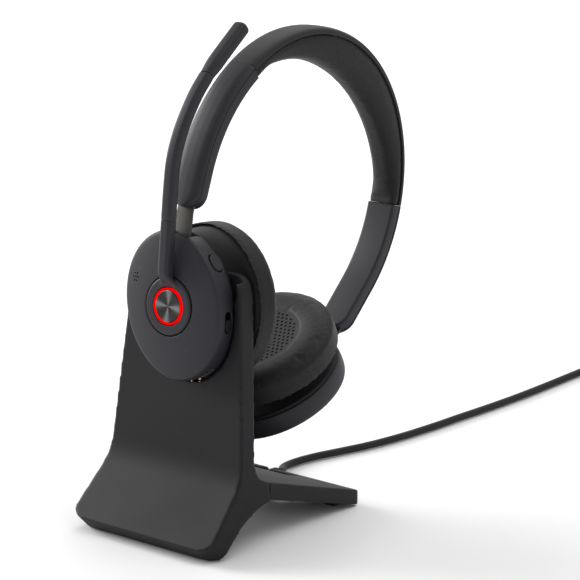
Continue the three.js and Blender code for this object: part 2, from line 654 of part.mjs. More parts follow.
/** Takes the corners off an arm's end, so that it is round seen from outside. */
function roundedEnd(body, end, direction) {
  const [y0, z0] = bandPoint(end, 0);
  const [y1, z1] = bandPoint(end + 5 * direction, 0);
  const length = Math.hypot(y1 - y0, z1 - z0);
  const w = BAND.halfWidth;
  const corners = new THREE.Shape();
  corners.moveTo(-w - 2, -2);
  corners.lineTo(w + 2, -2);
  corners.lineTo(w + 2, 6);
  corners.lineTo(w + 0.1, 6);
  corners.quadraticCurveTo(w + 0.1, 0, w - 6, 0);
  corners.lineTo(6 - w, 0);
  corners.quadraticCurveTo(-w - 0.1, 0, -w - 0.1, 6);
  corners.lineTo(-w - 2, 6);
  const geometry = new THREE.ExtrudeGeometry(corners, { depth: 30, bevelEnabled: false, curveSegments: 10 });
  const up = new THREE.Vector3(0, (y1 - y0) / length, (z1 - z0) / length);
  const across = new THREE.Vector3(1, 0, 0);
  const normal = new THREE.Vector3().crossVectors(across, up);
  geometry.translate(0, 0, -15);
  geometry.applyMatrix4(new THREE.Matrix4().makeBasis(across, up, normal));
  geometry.translate(0, y0, z0);
  return body.subtract(solid(geometry));
}

function padDepth(degrees) {
  const middle = (NEAR_SPLIT + FAR_SPLIT) / 2;
  const away = Math.min(Math.abs(degrees - middle) / (FAR_SPLIT - middle), 1);
  return BAND.thickness + BAND.padExtra * (1 - away * away) ** 1.5;
}

function arm(side, from, to, steps, end, direction) {
  const outer = roundedEnd(swept(shellSection(2, 2.3), new BandLine(from, to), steps), end, direction);
  const inner = roundedEnd(swept(linerSection(), new BandLine(from, to), steps), end, direction);
  return [piece(`${side}_arm_shell`, outer, 'housing'), piece(`${side}_arm_liner`, inner, 'housing')];
}

function buildHeadband() {
  const group = new THREE.Group();
  const seam = 0.25; // degrees of gap at the splits
  arm('near', NEAR_END, NEAR_SPLIT - seam, 14, NEAR_END, 1).forEach((mesh) => group.add(mesh));
  arm('far', FAR_SPLIT + seam, FAR_END, 16, FAR_END, -1).forEach((mesh) => group.add(mesh));
  const cover = swept(shellSection(2.4, 3.2), new BandLine(NEAR_SPLIT, FAR_SPLIT), 28);
  group.add(piece('top_cover', cover, 'rubber'));
  const spring = alongX(bandOutline(12, 168, () => 2.75, () => 3.15, 36), 4.5);
  group.add(piece('spring_strip', spring, 'steel'));
  const pad = alongX(bandOutline(NEAR_SPLIT, FAR_SPLIT, () => 3.5, padDepth, 36), BAND.halfWidth);
  group.add(piece('top_pad', pad, 'leather'));
  group.position.fromArray(BAND.centre);
  group.rotation.x = -radians(BAND.tilt);
  return group;
}

// ---------------------------------------------------------------- sliders

/** A point of a cup's frame in the stand's frame. */
function cupToStand(centre, inward, up, depth, height) {
  return [centre[1] + inward[0] * depth + up[0] * height, centre[2] + inward[1] * depth + up[1] * height];
}

/** A point of the headband in the stand's frame. */
function bandToStand(degrees, depth) {
  const [y, z] = bandPoint(degrees, depth);
  const [c, s] = [Math.cos(radians(BAND.tilt)), Math.sin(radians(BAND.tilt))];
  return [BAND.centre[1] + y * c + z * s, BAND.centre[2] - y * s + z * c];
}

/** Flat strip that follows a line in (y, z). */
function strip(points, thickness, half) {
  const normals = points.map((point, i) => {
    const before = points[Math.max(i - 1, 0)];
    const after = points[Math.min(i + 1, points.length - 1)];
    const length = Math.hypot(after[0] - before[0], after[1] - before[1]);
    return [(before[1] - after[1]) / length, (after[0] - before[0]) / length];
  });
  const side = (sign) => points.map(([y, z], i) => [
    y + (sign * normals[i][0] * thickness) / 2, z + (sign * normals[i][1] * thickness) / 2,
  ]);
  return alongX(outline([...side(-1), ...side(1).reverse()]), half);
}

/** Slider: an eye on the tilt pin, a leg up to the arm's mouth and a blade inside the arm. */
function slider(name, pin, mouth, along) {
  const length = Math.hypot(along[0] - mouth[0], along[1] - mouth[1]);
  const tip = [0, 1].map((i) => mouth[i] + ((along[i] - mouth[i]) * BLADE_LENGTH) / length);
  const start = [0, 1].map((i) => pin[i] + (mouth[i] - pin[i]) * 0.1);
  const blade = strip([start, mouth, tip], 1, 4.2);
  const eye = bar('x', 2, -4.2, 4.2, pin, 24);
  const hole = bar('x', 1.3, -9, 9, pin, 16);
  return piece(name, blade.add(eye).subtract(hole), 'slider');
}

function buildSliders() {
  const group = new THREE.Group();
  const lean = radians(CUP_LEAN);
  const nearPin = cupToStand(CUP_CENTRE, [Math.cos(lean), -Math.sin(lean)], [Math.sin(lean), Math.cos(lean)],
    CUP.tiltDepth, CUP.tiltHeight);
  const far = radians(FAR_CUP_LEAN);
  const farPin = cupToStand(FAR_CUP_CENTRE, [-Math.cos(far), Math.sin(far)], [Math.sin(far), Math.cos(far)],
    CUP.tiltDepth, CUP.tiltHeight);
  const nearMouth = bandToStand(NEAR_END - 1.4, BLADE_DEPTH);
  const farMouth = bandToStand(FAR_END + 1.4, BLADE_DEPTH);
  group.add(slider('near_slider', nearPin, nearMouth, bandToStand(-STRAIGHT, BLADE_DEPTH)));
  group.add(slider('far_slider', farPin, farMouth, bandToStand(180 + STRAIGHT, BLADE_DEPTH)));
  return group;
}

// ---------------------------------------------------------------- assembly

const headset = new THREE.Group();
headset.add(buildNearCup());
headset.add(buildFarCup());
headset.add(buildHeadband());
headset.add(buildSliders());

const model = new THREE.Group();
model.add(buildStand());
model.add(buildCord());
model.add(headset);
model.position.set(0, -CENTRE_BACK, 0);
model.updateMatrixWorld(true);

export default model;
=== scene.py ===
"""Looks of an office headset docked on its charging stand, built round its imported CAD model."""
import json
import math

import bmesh
import bpy
from mathutils import Matrix, Vector


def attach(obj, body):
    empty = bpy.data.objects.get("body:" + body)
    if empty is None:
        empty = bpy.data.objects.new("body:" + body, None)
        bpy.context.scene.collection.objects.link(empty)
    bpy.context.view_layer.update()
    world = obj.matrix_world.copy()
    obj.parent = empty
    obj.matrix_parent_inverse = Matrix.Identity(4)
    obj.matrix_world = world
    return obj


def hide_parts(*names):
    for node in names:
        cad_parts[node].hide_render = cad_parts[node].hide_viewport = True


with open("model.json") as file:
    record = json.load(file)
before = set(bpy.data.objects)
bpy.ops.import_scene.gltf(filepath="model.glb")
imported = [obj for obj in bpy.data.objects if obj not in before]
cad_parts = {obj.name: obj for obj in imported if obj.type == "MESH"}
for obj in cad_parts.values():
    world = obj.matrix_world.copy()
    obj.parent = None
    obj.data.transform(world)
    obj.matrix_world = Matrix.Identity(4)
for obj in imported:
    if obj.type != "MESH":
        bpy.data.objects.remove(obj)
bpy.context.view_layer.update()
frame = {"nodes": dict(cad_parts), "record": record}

MM = 0.001
RECORD = frame["record"]
BODY_OF = {node: body for body, nodes in RECORD["behaviour"]["bodies"].items() for node in nodes}
SLOT_OF = {part["node"]: part["material_slot"] for part in RECORD["subparts"]}

# ------------------------ the CAD's own values, in millimetres

GAP = 0.3
CENTRE_BACK = 78.3
CUP_LEAN = 6
CUP_CENTRE = (0, 14.2, 97.9)
FAR_CUP_LEAN = 62
FAR_CUP_CENTRE = (0, 86.7, 42.2)
CUP_LONG = 31
CUP_SHORT = 25.2
CUP_TILT = 20
COVER_BACK = 12.4
BASE_FRONT, BASE_BACK = 12.7, 14.2
NECK_RADIUS = 8.2
PIVOT_DEPTH = 21.5
TILT_PIN = (6.6, 22)
PILL_AT, SWITCH_AT, PORT_AT = 65.8, 112.7, 168
CHARGE_CONTACTS = ((5.5, -29.1), (10, -28.6))
CONTACT_DEPTH = 11.6
CONTACT_POCKET = (2.7, 13.3, 11.2, 15.8, -37.3, -29.8)
SPEAKER_RADIUS = 32.8
SPEAKER_YAW = -7
SPEAKER_TILT = 2.5
BAND_CENTRE = (0, 93.3, 130.9)
BAND_TILT = 33
BAND_HALF_SPAN = 68.6
BAND_RISE = 72.6
BAND_HALF_WIDTH = 7.2
BAND_THICKNESS = 7.5
LINER_FLOOR = 6.3
PAD_EXTRA = 10.6
NEAR_END, NEAR_SPLIT, FAR_SPLIT, FAR_END = -26, 27, 161, 212.2
STRAIGHT = 13.5
HUB_OPENING = 12.4
BOOM_LINE = [(-2.3, 8.4), (-2.3, 35.4), (-2.3, 35.8), (-2.2, 48), (-1.6, 59), (0.7, 68.5),
             (4.4, 77), (9.6, 86), (15.4, 93.4), (21.8, 99.9), (28.6, 106.4), (35.6, 113)]
CORD_RADIUS = 1.7
CORD_EXIT = (-12, 97.3, 4.6)
GLAND_LENGTH = 13.6
PLUG_HEIGHT = 4.2
COIL_CENTRE = (20.4, 350)
COIL_RADII = [27.2, 23.8, 20.4, 17, 13.6]
CORD_ROUTE = [
    CORD_EXIT, (-12, 98.8, 4.5), (-12.9, 101.2, 4), (-15.2, 104.4, 3.3), (-18.2, 108.2, 2.5),
    (-20.2, 113.6, 2), (-20.7, 120, 1.9), (-19.4, 130, 1.9), (-15.6, 144, 1.9), (-11.3, 160, 1.9),
    (-8.2, 179, 1.9), (-6.5, 200, 1.9), (-5.8, 222, 1.9), (-4.9, 245, 1.9), (-4.6, 269, 1.9),
    (-5.4, 296, 1.9), (-6.5, 322, 1.9), (-6.8, 335.4, 1.9),
]
TAIL_ROUTE = [(47.6, 335.3, 4), (47.6, 329, 3.1), (47.6, 323, 2.5), (47.6, 317, 2.4)]


def frame_matrix(right, inward, up, origin):
    """Matrix from a piece's own millimetres to metres in the row frame; origin is in the stand's frame."""
    matrix = Matrix((right, inward, up)).transposed().to_4x4()
    matrix.translation = Vector(origin) - Vector((0, CENTRE_BACK, 0))
    return Matrix.Scale(MM, 4) @ matrix


def leaning(degrees, origin, facing=1):
    """Frame whose second axis goes into a cup and whose third goes up its face."""
    c, s = math.cos(math.radians(degrees)), math.sin(math.radians(degrees))
    return frame_matrix((facing, 0, 0), (0, facing * c, -facing * s), (0, s, c), origin)


STAND = frame_matrix((1, 0, 0), (0, 1, 0), (0, 0, 1), (0, 0, 0))
NEAR = leaning(CUP_LEAN, CUP_CENTRE)
FAR = leaning(FAR_CUP_LEAN, FAR_CUP_CENTRE, -1)
BAND = leaning(BAND_TILT, BAND_CENTRE)
PIVOT = Matrix.Translation((0, PIVOT_DEPTH, 0))
NEAR_SPEAKER = (NEAR @ PIVOT @ Matrix.Rotation(math.radians(SPEAKER_YAW), 4, "Z")
                @ Matrix.Rotation(math.radians(SPEAKER_TILT), 4, "X"))
FAR_SPEAKER = FAR @ PIVOT
SIDES = (("near", NEAR, NEAR_SPEAKER), ("far", FAR, FAR_SPEAKER))

# ------------------------ camera

CAMERA_PLACE = (0.7529, -0.8844, 0.3866)
CAMERA_AIM = (0, 0.01326, 0.08973)
LENS_MM = 176.3
SENSOR_MM = 36

camera_data = bpy.data.cameras.new("camera")
camera_data.lens = LENS_MM
camera_data.sensor_width = SENSOR_MM
camera = bpy.data.objects.new("camera", camera_data)
camera.location = CAMERA_PLACE
camera.rotation_euler = (Vector(CAMERA_AIM) - Vector(CAMERA_PLACE)).to_track_quat("-Z", "Y").to_euler()
bpy.context.scene.collection.objects.link(camera)
bpy.context.scene.camera = camera

# ------------------------ materials


class Shader:
    """One material's node tree, with a short call for each kind of node."""

    def __init__(self, name):
        self.material = bpy.data.materials.new(name)
        self.material.use_nodes = True
        self.tree = self.material.node_tree
        self.tree.nodes.clear()
        self.place = self.add("TexCoord").outputs["Object"]

    def add(self, kind, inputs=(), **settings):
        node = self.tree.nodes.new("ShaderNode" + kind)
        for key, value in settings.items():
            setattr(node, key, value)
        for key, value in dict(inputs).items():
            if isinstance(value, bpy.types.NodeSocket):
                self.tree.links.new(value, node.inputs[key])
            else:
                node.inputs[key].default_value = value
        return node

    def noise(self, scale, detail=2, vector=None, roughness=0.5, distortion=0):
        return self.add("TexNoise", {"Vector": vector or self.place, "Scale": scale, "Detail": detail,
                                     "Roughness": roughness, "Distortion": distortion}).outputs[0]

    def cells(self, scale, feature="F1"):
        node = self.add("TexVoronoi", {"Vector": self.place, "Scale": scale}, feature=feature)
        return node.outputs["Distance"]

    def math(self, operation, a, b=0.0):
        return self.add("Math", {0: a, 1: b}, operation=operation).outputs[0]

    def plus(self, a, b):
        return self.math("ADD", a, b)

    def times(self, a, b):
        return self.math("MULTIPLY", a, b)

    def remap(self, value, low, high, to_low=0.0, to_high=1.0):
        return self.add("MapRange", {0: value, 1: low, 2: high, 3: to_low, 4: to_high}).outputs[0]

    def mix(self, factor, a, b):
        return self.add("Mix", {0: factor, 6: a, 7: b}, data_type="RGBA").outputs[2]

    def mapped(self, matrix):
        """Coordinates in millimetres in a piece's own frame."""
        place, turn, size = matrix.inverted().decompose()
        return self.add("Mapping", {0: self.place, "Location": place, "Rotation": turn.to_euler(),
                                    "Scale": size}).outputs[0]

    def bump(self, height, strength, distance_mm):
        inputs = {"Height": height, "Strength": strength, "Distance": distance_mm * MM}
        return self.add("Bump", inputs).outputs[0]

    def surface(self, colour, roughness, normal=None, **constants):
        inputs = {"Base Color": colour, "Roughness": roughness}
        if normal is not None:
            inputs["Normal"] = normal
        inputs.update(constants)
        shader = self.add("BsdfPrincipled", inputs)
        self.add("OutputMaterial", {"Surface": shader.outputs[0]})
        return self.material


def shade(colour, factor):
    return tuple(min(c * factor, 1) for c in colour) + (1,)


def moulded(name, colour, roughness):
    """Spark-textured moulded plastic: fine grain, soft colour clouds, slightly polished edges with a painted
    highlight.
    """
    s = Shader(name)
    clouds = s.noise(38, 3)
    fine = s.noise(2300, 3, roughness=0.65)
    pores = s.cells(1500)
    # Painted highlight: sharp edges are lightened in the colour; they are also made a little less rough.
    edge = s.remap(s.add("NewGeometry").outputs["Pointiness"], 0.515, 0.60)
    base = s.mix(clouds, shade(colour, 0.9), shade(colour, 1.1))
    grained = s.mix(s.remap(fine, 0.3, 0.7), base, shade(colour, 1.22))
    grained = s.mix(0.5, base, grained)
    # Painted edge highlight.
    colour_out = s.mix(s.times(edge, 0.45), grained, shade(colour, 2.1))
    rough = s.plus(s.remap(clouds, 0.2, 0.8, roughness - 0.05, roughness + 0.06),
                   s.times(s.math("SUBTRACT", fine, 0.5), 0.18))
    rough = s.math("SUBTRACT", rough, s.times(edge, 0.1))
    height = s.plus(fine, s.times(pores, 0.7))
    return s.surface(colour_out, rough, s.bump(height, 0.28, 0.05), **{"Specular IOR Level": 0.24})


def rubbery(name, colour, roughness=0.62):
    """Soft rubber with a dull skin and fine dust-like specks."""
    s = Shader(name)
    clouds = s.noise(55, 4)
    fine = s.noise(1900, 2, roughness=0.7)
    specks = s.remap(s.noise(700, 1), 0.66, 0.78)
    base = s.mix(clouds, shade(colour, 0.85), shade(colour, 1.18))
    colour_out = s.mix(s.times(specks, 0.16), base, shade(colour, 2.2))
    rough = s.remap(clouds, 0.2, 0.8, roughness - 0.07, roughness + 0.08)
    look = {"Specular IOR Level": 0.25, "Sheen Weight": 0.05, "Sheen Roughness": 0.5}
    return s.surface(colour_out, rough, s.bump(fine, 0.22, 0.05), **look)


def leathery(name, colour):
    """Protein leather: pebbled grain cells with painted shade in their valleys, soft creases and a low sheen.
    """
    s = Shader(name)
    warp = s.noise(260, 2)
    grain_cells = s.cells(1050, "DISTANCE_TO_EDGE")
    coarse_cells = s.cells(520, "SMOOTH_F1")
    creases = s.noise(150, 4, roughness=0.7, distortion=1.2)
    clouds = s.noise(42, 3)
    valley = s.remap(grain_cells, 0.0, 0.13)
    base = s.mix(clouds, shade(colour, 0.88), shade(colour, 1.14))
    # Painted shade: the colour is darkened in the valleys of the grain.
    colour_out = s.mix(valley, shade(colour, 0.72), base)
    colour_out = s.mix(s.times(s.remap(creases, 0.58, 0.72), 0.2), colour_out, shade(colour, 1.5))
    height = s.plus(s.times(valley, 0.55), s.times(coarse_cells, 0.35))
    height = s.plus(height, s.times(creases, 0.6))
    height = s.plus(height, s.times(warp, 0.2))
    rough = s.plus(s.remap(valley, 0.0, 1.0, 0.66, 0.5), s.times(clouds, 0.08))
    look = {"Specular IOR Level": 0.28, "Sheen Weight": 0.08, "Sheen Roughness": 0.45}
    return s.surface(colour_out, rough, s.bump(height, 0.3, 0.09), **look)


THREAD_PITCH = 0.45


def woven(name, colour):
    """Plain-weave cloth from two crossed thread waves, with fuzz."""
    s = Shader(name)
    turns = 2 * math.pi / (THREAD_PITCH * MM)
    split = s.add("SeparateXYZ", {0: s.place})
    wobble = s.times(s.math("SUBTRACT", s.noise(300, 2), 0.5), 1.2)
    across = s.math("SINE", s.plus(s.times(split.outputs[0], turns), wobble))
    along = s.math("SINE", s.plus(s.times(split.outputs[2], turns), wobble))
    weave = s.remap(s.times(across, along), -1.0, 1.0)
    fuzz = s.noise(3200, 3)
    colour_out = s.mix(weave, shade(colour, 0.55), shade(colour, 1.3))
    colour_out = s.mix(s.times(fuzz, 0.3), colour_out, shade(colour, 1.8))
    height = s.plus(weave, s.times(fuzz, 0.4))
    rough = s.remap(weave, 0.0, 1.0, 0.95, 0.82)
    look = {"Specular IOR Level": 0.2, "Sheen Weight": 0.35, "Sheen Roughness": 0.6}
    return s.surface(colour_out, rough, s.bump(height, 0.5, 0.12), **look)


def brushed(name, colour, roughness, stretch=(1, 1, 0.04)):
    """Metal with straight brush lines and darker, rougher stains."""
    s = Shader(name)
    lines_at = s.add("Mapping", {0: s.place, "Scale": stretch}).outputs[0]
    lines = s.noise(1800, 3, lines_at, 0.6)
    stains = s.noise(70, 3)
    base = s.mix(lines, shade(colour, 0.72), shade(colour, 1.25))
    colour_out = s.mix(s.remap(stains, 0.45, 0.75, 0.0, 0.3), base, shade(colour, 0.6))
    rough = s.plus(s.remap(lines, 0.25, 0.75, roughness - 0.08, roughness + 0.1),
                   s.times(stains, 0.08))
    return s.surface(colour_out, rough, s.bump(lines, 0.25, 0.03), Metallic=1.0)


def spun(name, colour, matrix):
    """Metal face turned on a lathe: fine rings, and a painted reflection of broad light and dark streaks from
    the middle.
    """
    s = Shader(name)
    split = s.add("SeparateXYZ", {0: s.mapped(matrix)})
    x, up = split.outputs[0], split.outputs[2]
    angle = s.math("ARCTAN2", up, x)
    radius = s.math("SQRT", s.plus(s.times(x, x), s.times(up, up)))
    # Painted reflection: four broad streaks at fixed angles about the middle, lightened and darkened in the
    # colour.
    wave = s.math("COSINE", s.times(s.plus(angle, 0.05), 2.0))
    reflection_rays = s.math("POWER", s.math("ABSOLUTE", wave), 7.0)
    streak_at = s.add("CombineXYZ", {0: s.math("COSINE", angle), 1: s.math("SINE", angle), 2: 0.0}).outputs[0]
    streaks = s.noise(26, 4, streak_at, 0.7)
    rings = s.math("SINE", s.times(radius, 52.0))
    painted_reflection = s.times(reflection_rays, s.remap(streaks, 0.3, 0.7, 0.55, 1.15))
    colour_out = s.mix(painted_reflection, shade(colour, 0.2), shade(colour, 1.5))
    colour_out = s.mix(s.remap(rings, -1.0, 1.0, 0.0, 0.16), colour_out, shade(colour, 0.25))
    rough = s.plus(s.remap(streaks, 0.2, 0.8, 0.26, 0.4), s.times(rings, 0.03))
    return s.surface(colour_out, rough, s.bump(rings, 0.25, 0.02), Metallic=0.85, Anisotropic=0.6)


def lit(name, colour):
    """Lit diffuser: an even glow with a little mottling from the light guide."""
    s = Shader(name)
    mottle = s.noise(900, 2)
    glow = s.mix(mottle, shade(colour, 0.92), shade(colour, 1.0))
    look = {"Emission Color": glow, "Emission Strength": 1.0, "Specular IOR Level": 0.0}
    rough = s.remap(mottle, 0.3, 0.7, 0.5, 0.65)
    return s.surface(shade(colour, 0.5), rough, s.bump(mottle, 0.1, 0.02), **look)


def board(name):
    """Circuit board: solder mask over copper traces, with pale pads."""
    s = Shader(name)
    tones = {"Color1": (0.012, 0.07, 0.03, 1), "Color2": (0.015, 0.09, 0.038, 1),
             "Mortar": (0.02, 0.13, 0.05, 1)}
    blocks = s.add("TexBrick", {"Vector": s.place, "Scale": 420, **tones}).outputs[0]
    pads = s.remap(s.cells(330), 0.0, 0.22, 1.0, 0.0)
    colour_out = s.mix(s.remap(pads, 0.5, 0.6), blocks, (0.55, 0.5, 0.42, 1))
    rough = s.remap(s.noise(220, 3), 0.3, 0.7, 0.3, 0.45)
    return s.surface(colour_out, rough, s.bump(pads, 0.3, 0.08))


def foil(name):
    """Wrapped battery cell: satin foil with soft crinkles."""
    s = Shader(name)
    crinkle = s.noise(190, 4, roughness=0.7, distortion=1.5)
    colour_out = s.mix(crinkle, (0.38, 0.39, 0.41, 1), (0.62, 0.63, 0.65, 1))
    rough = s.remap(crinkle, 0.3, 0.7, 0.25, 0.5)
    return s.surface(colour_out, rough, s.bump(crinkle, 0.5, 0.2), Metallic=0.8)


MATERIALS = {
    "stand_plastic": moulded("stand_plastic", (0.0076, 0.0073, 0.0090), 0.55),
    "cover_plastic": moulded("cover_plastic", (0.023, 0.022, 0.0275), 0.47),
    "arm_plastic": moulded("arm_plastic", (0.023, 0.022, 0.0265), 0.46),
    "black_plastic": moulded("black_plastic", (0.006, 0.006, 0.0065), 0.62),
    "cable_rubber": rubbery("cable_rubber", (0.011, 0.011, 0.012)),
    "soft_cover": rubbery("soft_cover", (0.017, 0.0165, 0.0185), 0.6),
    "leatherette": leathery("leatherette", (0.0080, 0.0080, 0.0087)),
    "speaker_cloth": woven("speaker_cloth", (0.008, 0.008, 0.009)),
    "spun_metal": spun("spun_metal", (0.15, 0.147, 0.147), NEAR),
    "slider_metal": brushed("slider_metal", (0.085, 0.084, 0.076), 0.45, (1, 0.2, 0.05)),
    "steel": brushed("steel", (0.52, 0.52, 0.53), 0.3),
    "contact_metal": brushed("contact_metal", (0.80, 0.58, 0.28), 0.26),
    "circuit_board": board("circuit_board"),
    "battery_foil": foil("battery_foil"),
    "red_light": lit("red_light", (1.0, 0.0, 0.0)),
}

# ------------------------ mesh tools, in a piece's own millimetres


def mesh_object(name, rings, wrap=False):
    """Closed mesh through rings of equal length; wrap joins the last ring to the first."""
    bm = bmesh.new()
    rows = [[bm.verts.new(point) for point in ring] for ring in rings]
    pairs = list(zip(rows, rows[1:])) + ([(rows[-1], rows[0])] if wrap else [])
    for low, high in pairs:
        for i in range(len(low)):
            j = (i + 1) % len(low)
            bm.faces.new((low[i], low[j], high[j], high[i]))
    if not wrap:
        for row in (rows[0], rows[-1]):
            bm.faces.new(row)
    bmesh.ops.remove_doubles(bm, verts=bm.verts, dist=1e-4)
    bmesh.ops.recalc_face_normals(bm, faces=bm.faces)
    return object_of(name, bm)


def object_of(name, bm):
    mesh = bpy.data.meshes.new(name)
    bm.to_mesh(mesh)
    bm.free()
    obj = bpy.data.objects.new(name, mesh)
    bpy.context.scene.collection.objects.link(obj)
    return obj


def rounded(points, radius, closed=False, steps=4):
    """The line with each corner turned into a small curve; radius is one size, or one for each corner."""
    points = [Vector(p) for p in points]
    count = len(points)
    line = []
    for i, here in enumerate(points):
        if not closed and i in (0, count - 1):
            line.append(here)
            continue
        before, after = points[i - 1], points[(i + 1) % count]
        size = radius[i] if isinstance(radius, (list, tuple)) else radius
        back = min(size, (before - here).length * 0.48)
        ahead = min(size, (after - here).length * 0.48)
        if min(back, ahead) < 1e-4:
            line.append(here)
            continue
        a = here + (before - here).normalized() * back
        b = here + (after - here).normalized() * ahead
        for k in range(steps + 1):
            t = k / steps
            line.append((1 - t) ** 2 * a + 2 * t * (1 - t) * here + t ** 2 * b)
    return line


def smooth_line(points, steps):
    """Points on a Catmull-Rom curve through the given points."""
    points = [Vector(p) for p in points]
    points = [2 * points[0] - points[1]] + points + [2 * points[-1] - points[-2]]
    line = []
    for i in range(1, len(points) - 2):
        p0, p1, p2, p3 = points[i - 1:i + 3]
        for k in range(steps):
            t = k / steps
            line.append(0.5 * (2 * p1 + (p2 - p0) * t + (2 * p0 - 5 * p1 + 4 * p2 - p3) * t ** 2
                               + (3 * p1 - p0 - 3 * p2 + p3) * t ** 3))
    return line + [points[-2]]


def around(sides):
    """Cosine and sine of each step round a circle."""
    angles = [2 * math.pi * i / sides for i in range(sides)]
    return [(math.cos(angle), math.sin(angle)) for angle in angles]


def lathe(name, profile, sides=96, closed=False, scale=(1, 1), turn=0.0):
    """Solid turned about the depth axis from (radius, depth) points; scale makes it oval."""
    c, s = math.cos(math.radians(turn)), math.sin(math.radians(turn))
    rings = []
    for radius, depth in profile:
        ring = []
        for across, up in around(sides):
            x, u = scale[0] * radius * across, scale[1] * radius * up
            ring.append((x * c - u * s, depth, x * s + u * c))
        rings.append(ring)
    return mesh_object(name, rings, wrap=closed)


def block(x0, x1, y0, y1, z0, z1):
    bm = bmesh.new()
    size = Matrix.Diagonal((x1 - x0, y1 - y0, z1 - z0, 1))
    middle = Matrix.Translation(((x0 + x1) / 2, (y0 + y1) / 2, (z0 + z1) / 2))
    bmesh.ops.create_cube(bm, size=1, matrix=middle @ size)
    return object_of("tool", bm)


def rod(axis, radius, start, end, place, sides=40):
    """Round tool along X, Y or Z; place gives the other two coordinates in order."""
    rings = []
    for along in (start, end):
        ring = []
        for a, b in around(sides):
            point = [place[0] + radius * a, place[1] + radius * b]
            point.insert("xyz".index(axis), along)
            ring.append(point)
        rings.append(ring)
    return mesh_object("tool", rings)


def round_rect(half_a, half_b, corner, steps=6):
    points = []
    for sign_a, sign_b, start in ((1, 1, 0), (-1, 1, 90), (-1, -1, 180), (1, -1, 270)):
        for k in range(steps + 1):
            angle = math.radians(start + 90 * k / steps)
            points.append((sign_a * (half_a - corner) + corner * math.cos(angle),
                           sign_b * (half_b - corner) + corner * math.sin(angle)))
    return points


def moved(obj, matrix):
    obj.data.transform(matrix)
    return obj


def remove(obj):
    mesh = obj.data
    bpy.data.objects.remove(obj)
    bpy.data.meshes.remove(mesh)


def applied(obj):
    """Applies the object's modifiers to its mesh."""
    bpy.context.view_layer.update()
    old = obj.data
    mesh = bpy.data.meshes.new_from_object(obj.evaluated_get(bpy.context.evaluated_depsgraph_get()))
    obj.modifiers.clear()
    obj.data = mesh
    bpy.data.meshes.remove(old)
    return obj


def combined(obj, tools, operation="DIFFERENCE"):
    """Cuts the tools out of the object, or joins them to it, one by one."""
    for tool in tools:
        step = obj.modifiers.new("step", "BOOLEAN")
        step.operation = operation
        step.solver = "EXACT"
        step.object = tool
        applied(obj)
        remove(tool)
    return obj


def softened(obj, voxel, passes):
    """Evens the mesh out on a fine grid and rounds its edges, as a mould does."""
    grid = obj.modifiers.new("grid", "REMESH")
    grid.mode = "VOXEL"
    grid.voxel_size = voxel
    ease = obj.modifiers.new("ease", "SMOOTH")
    ease.factor = 0.5
    ease.iterations = passes
    return applied(obj)


def bevelled(obj, width, segments=3):
    """Rounds the sharp edges of a solid with large flat faces."""
    tidy = obj.modifiers.new("tidy", "DECIMATE")
    tidy.decimate_type = "DISSOLVE"
    tidy.angle_limit = math.radians(1)
    edge = obj.modifiers.new("edge", "BEVEL")
    edge.width = width
    edge.segments = segments
    edge.limit_method = "ANGLE"
    edge.angle_limit = math.radians(32)
    return applied(obj)


def cad_copy(node, matrix):
    """A copy of a CAD node's mesh, in millimetres of the frame that the matrix gives."""
    bm = bmesh.new()
    bm.from_mesh(frame["nodes"][node].data)
    bmesh.ops.remove_doubles(bm, verts=bm.verts, dist=1e-7)
    obj = object_of(node, bm)
    return moved(obj, matrix.inverted())


def finished(obj, matrix, node, angle=35):
    """Puts a piece in its place, gives it its finish, and lets it stand for its CAD node."""
    moved(obj, matrix)
    obj.name = node + "_visual"
    obj.data.materials.clear()
    obj.data.materials.append(MATERIALS[SLOT_OF[node]])
    obj.data.shade_smooth()
    if angle:
        obj.data.set_sharp_from_angle(angle=math.radians(angle))
    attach(obj, BODY_OF[node])
    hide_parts(node)
    return obj


# ------------------------ cord


COIL_TURNS = 9.5
POINTS_PER_TURN = 18
SHIFT = 1 / 3  # the part of a turn in which the cord moves to its next radius or layer


def coil_points():
    """The wound turns: inward on the floor, up beside the last turn, and outward on top."""
    low = CORD_ROUTE[-1][2] - 0.1
    high = low + 2 * CORD_RADIUS
    turns = COIL_RADII + COIL_RADII[::-1]
    climb, last = len(COIL_RADII) - 1, len(turns) - 1
    points = []
    for i in range(int(COIL_TURNS * POINTS_PER_TURN) + 1):
        at = i / POINTS_PER_TURN
        k = min(int(at), last)
        ease = min(max((at - k - 1 + SHIFT) / SHIFT, 0), 1)
        ease = ease * ease * (3 - 2 * ease)
        radius = turns[k] + (0 if k == last else (turns[k + 1] - turns[k]) * ease)
        height = low if k < climb else high if k > climb else low + (high - low) * ease
        angle = math.pi - 2 * math.pi * at
        x, y = COIL_CENTRE[0] + radius * math.cos(angle), COIL_CENTRE[1] + radius * math.sin(angle)
        points.append((x, y, height))
    return points


def build_cord():
    """The whole cable as one round curve, and its length."""
    points = CORD_ROUTE + coil_points() + TAIL_ROUTE
    curve = bpy.data.curves.new("stand_cable", "CURVE")
    curve.dimensions = "3D"
    curve.bevel_depth = CORD_RADIUS * MM
    curve.bevel_resolution = 5
    curve.resolution_u = 5
    curve.use_fill_caps = True
    spline = curve.splines.new("BEZIER")
    spline.bezier_points.add(len(points) - 1)
    for knot, point in zip(spline.bezier_points, points):
        knot.co = STAND @ Vector(point)
        knot.handle_left_type = knot.handle_right_type = "AUTO"
    curve.materials.append(MATERIALS["cable_rubber"])
    obj = bpy.data.objects.new("stand_cable", curve)
    bpy.context.scene.collection.objects.link(obj)
    length = sum((STAND @ Vector(b) - STAND @ Vector(a)).length for a, b in zip(points, points[1:]))
    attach(obj, "stand")
    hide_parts("cord_tube", "cord_tail", "cord_coil")
    return obj, length


cord, cord_length = build_cord()

# ------------------------ stand


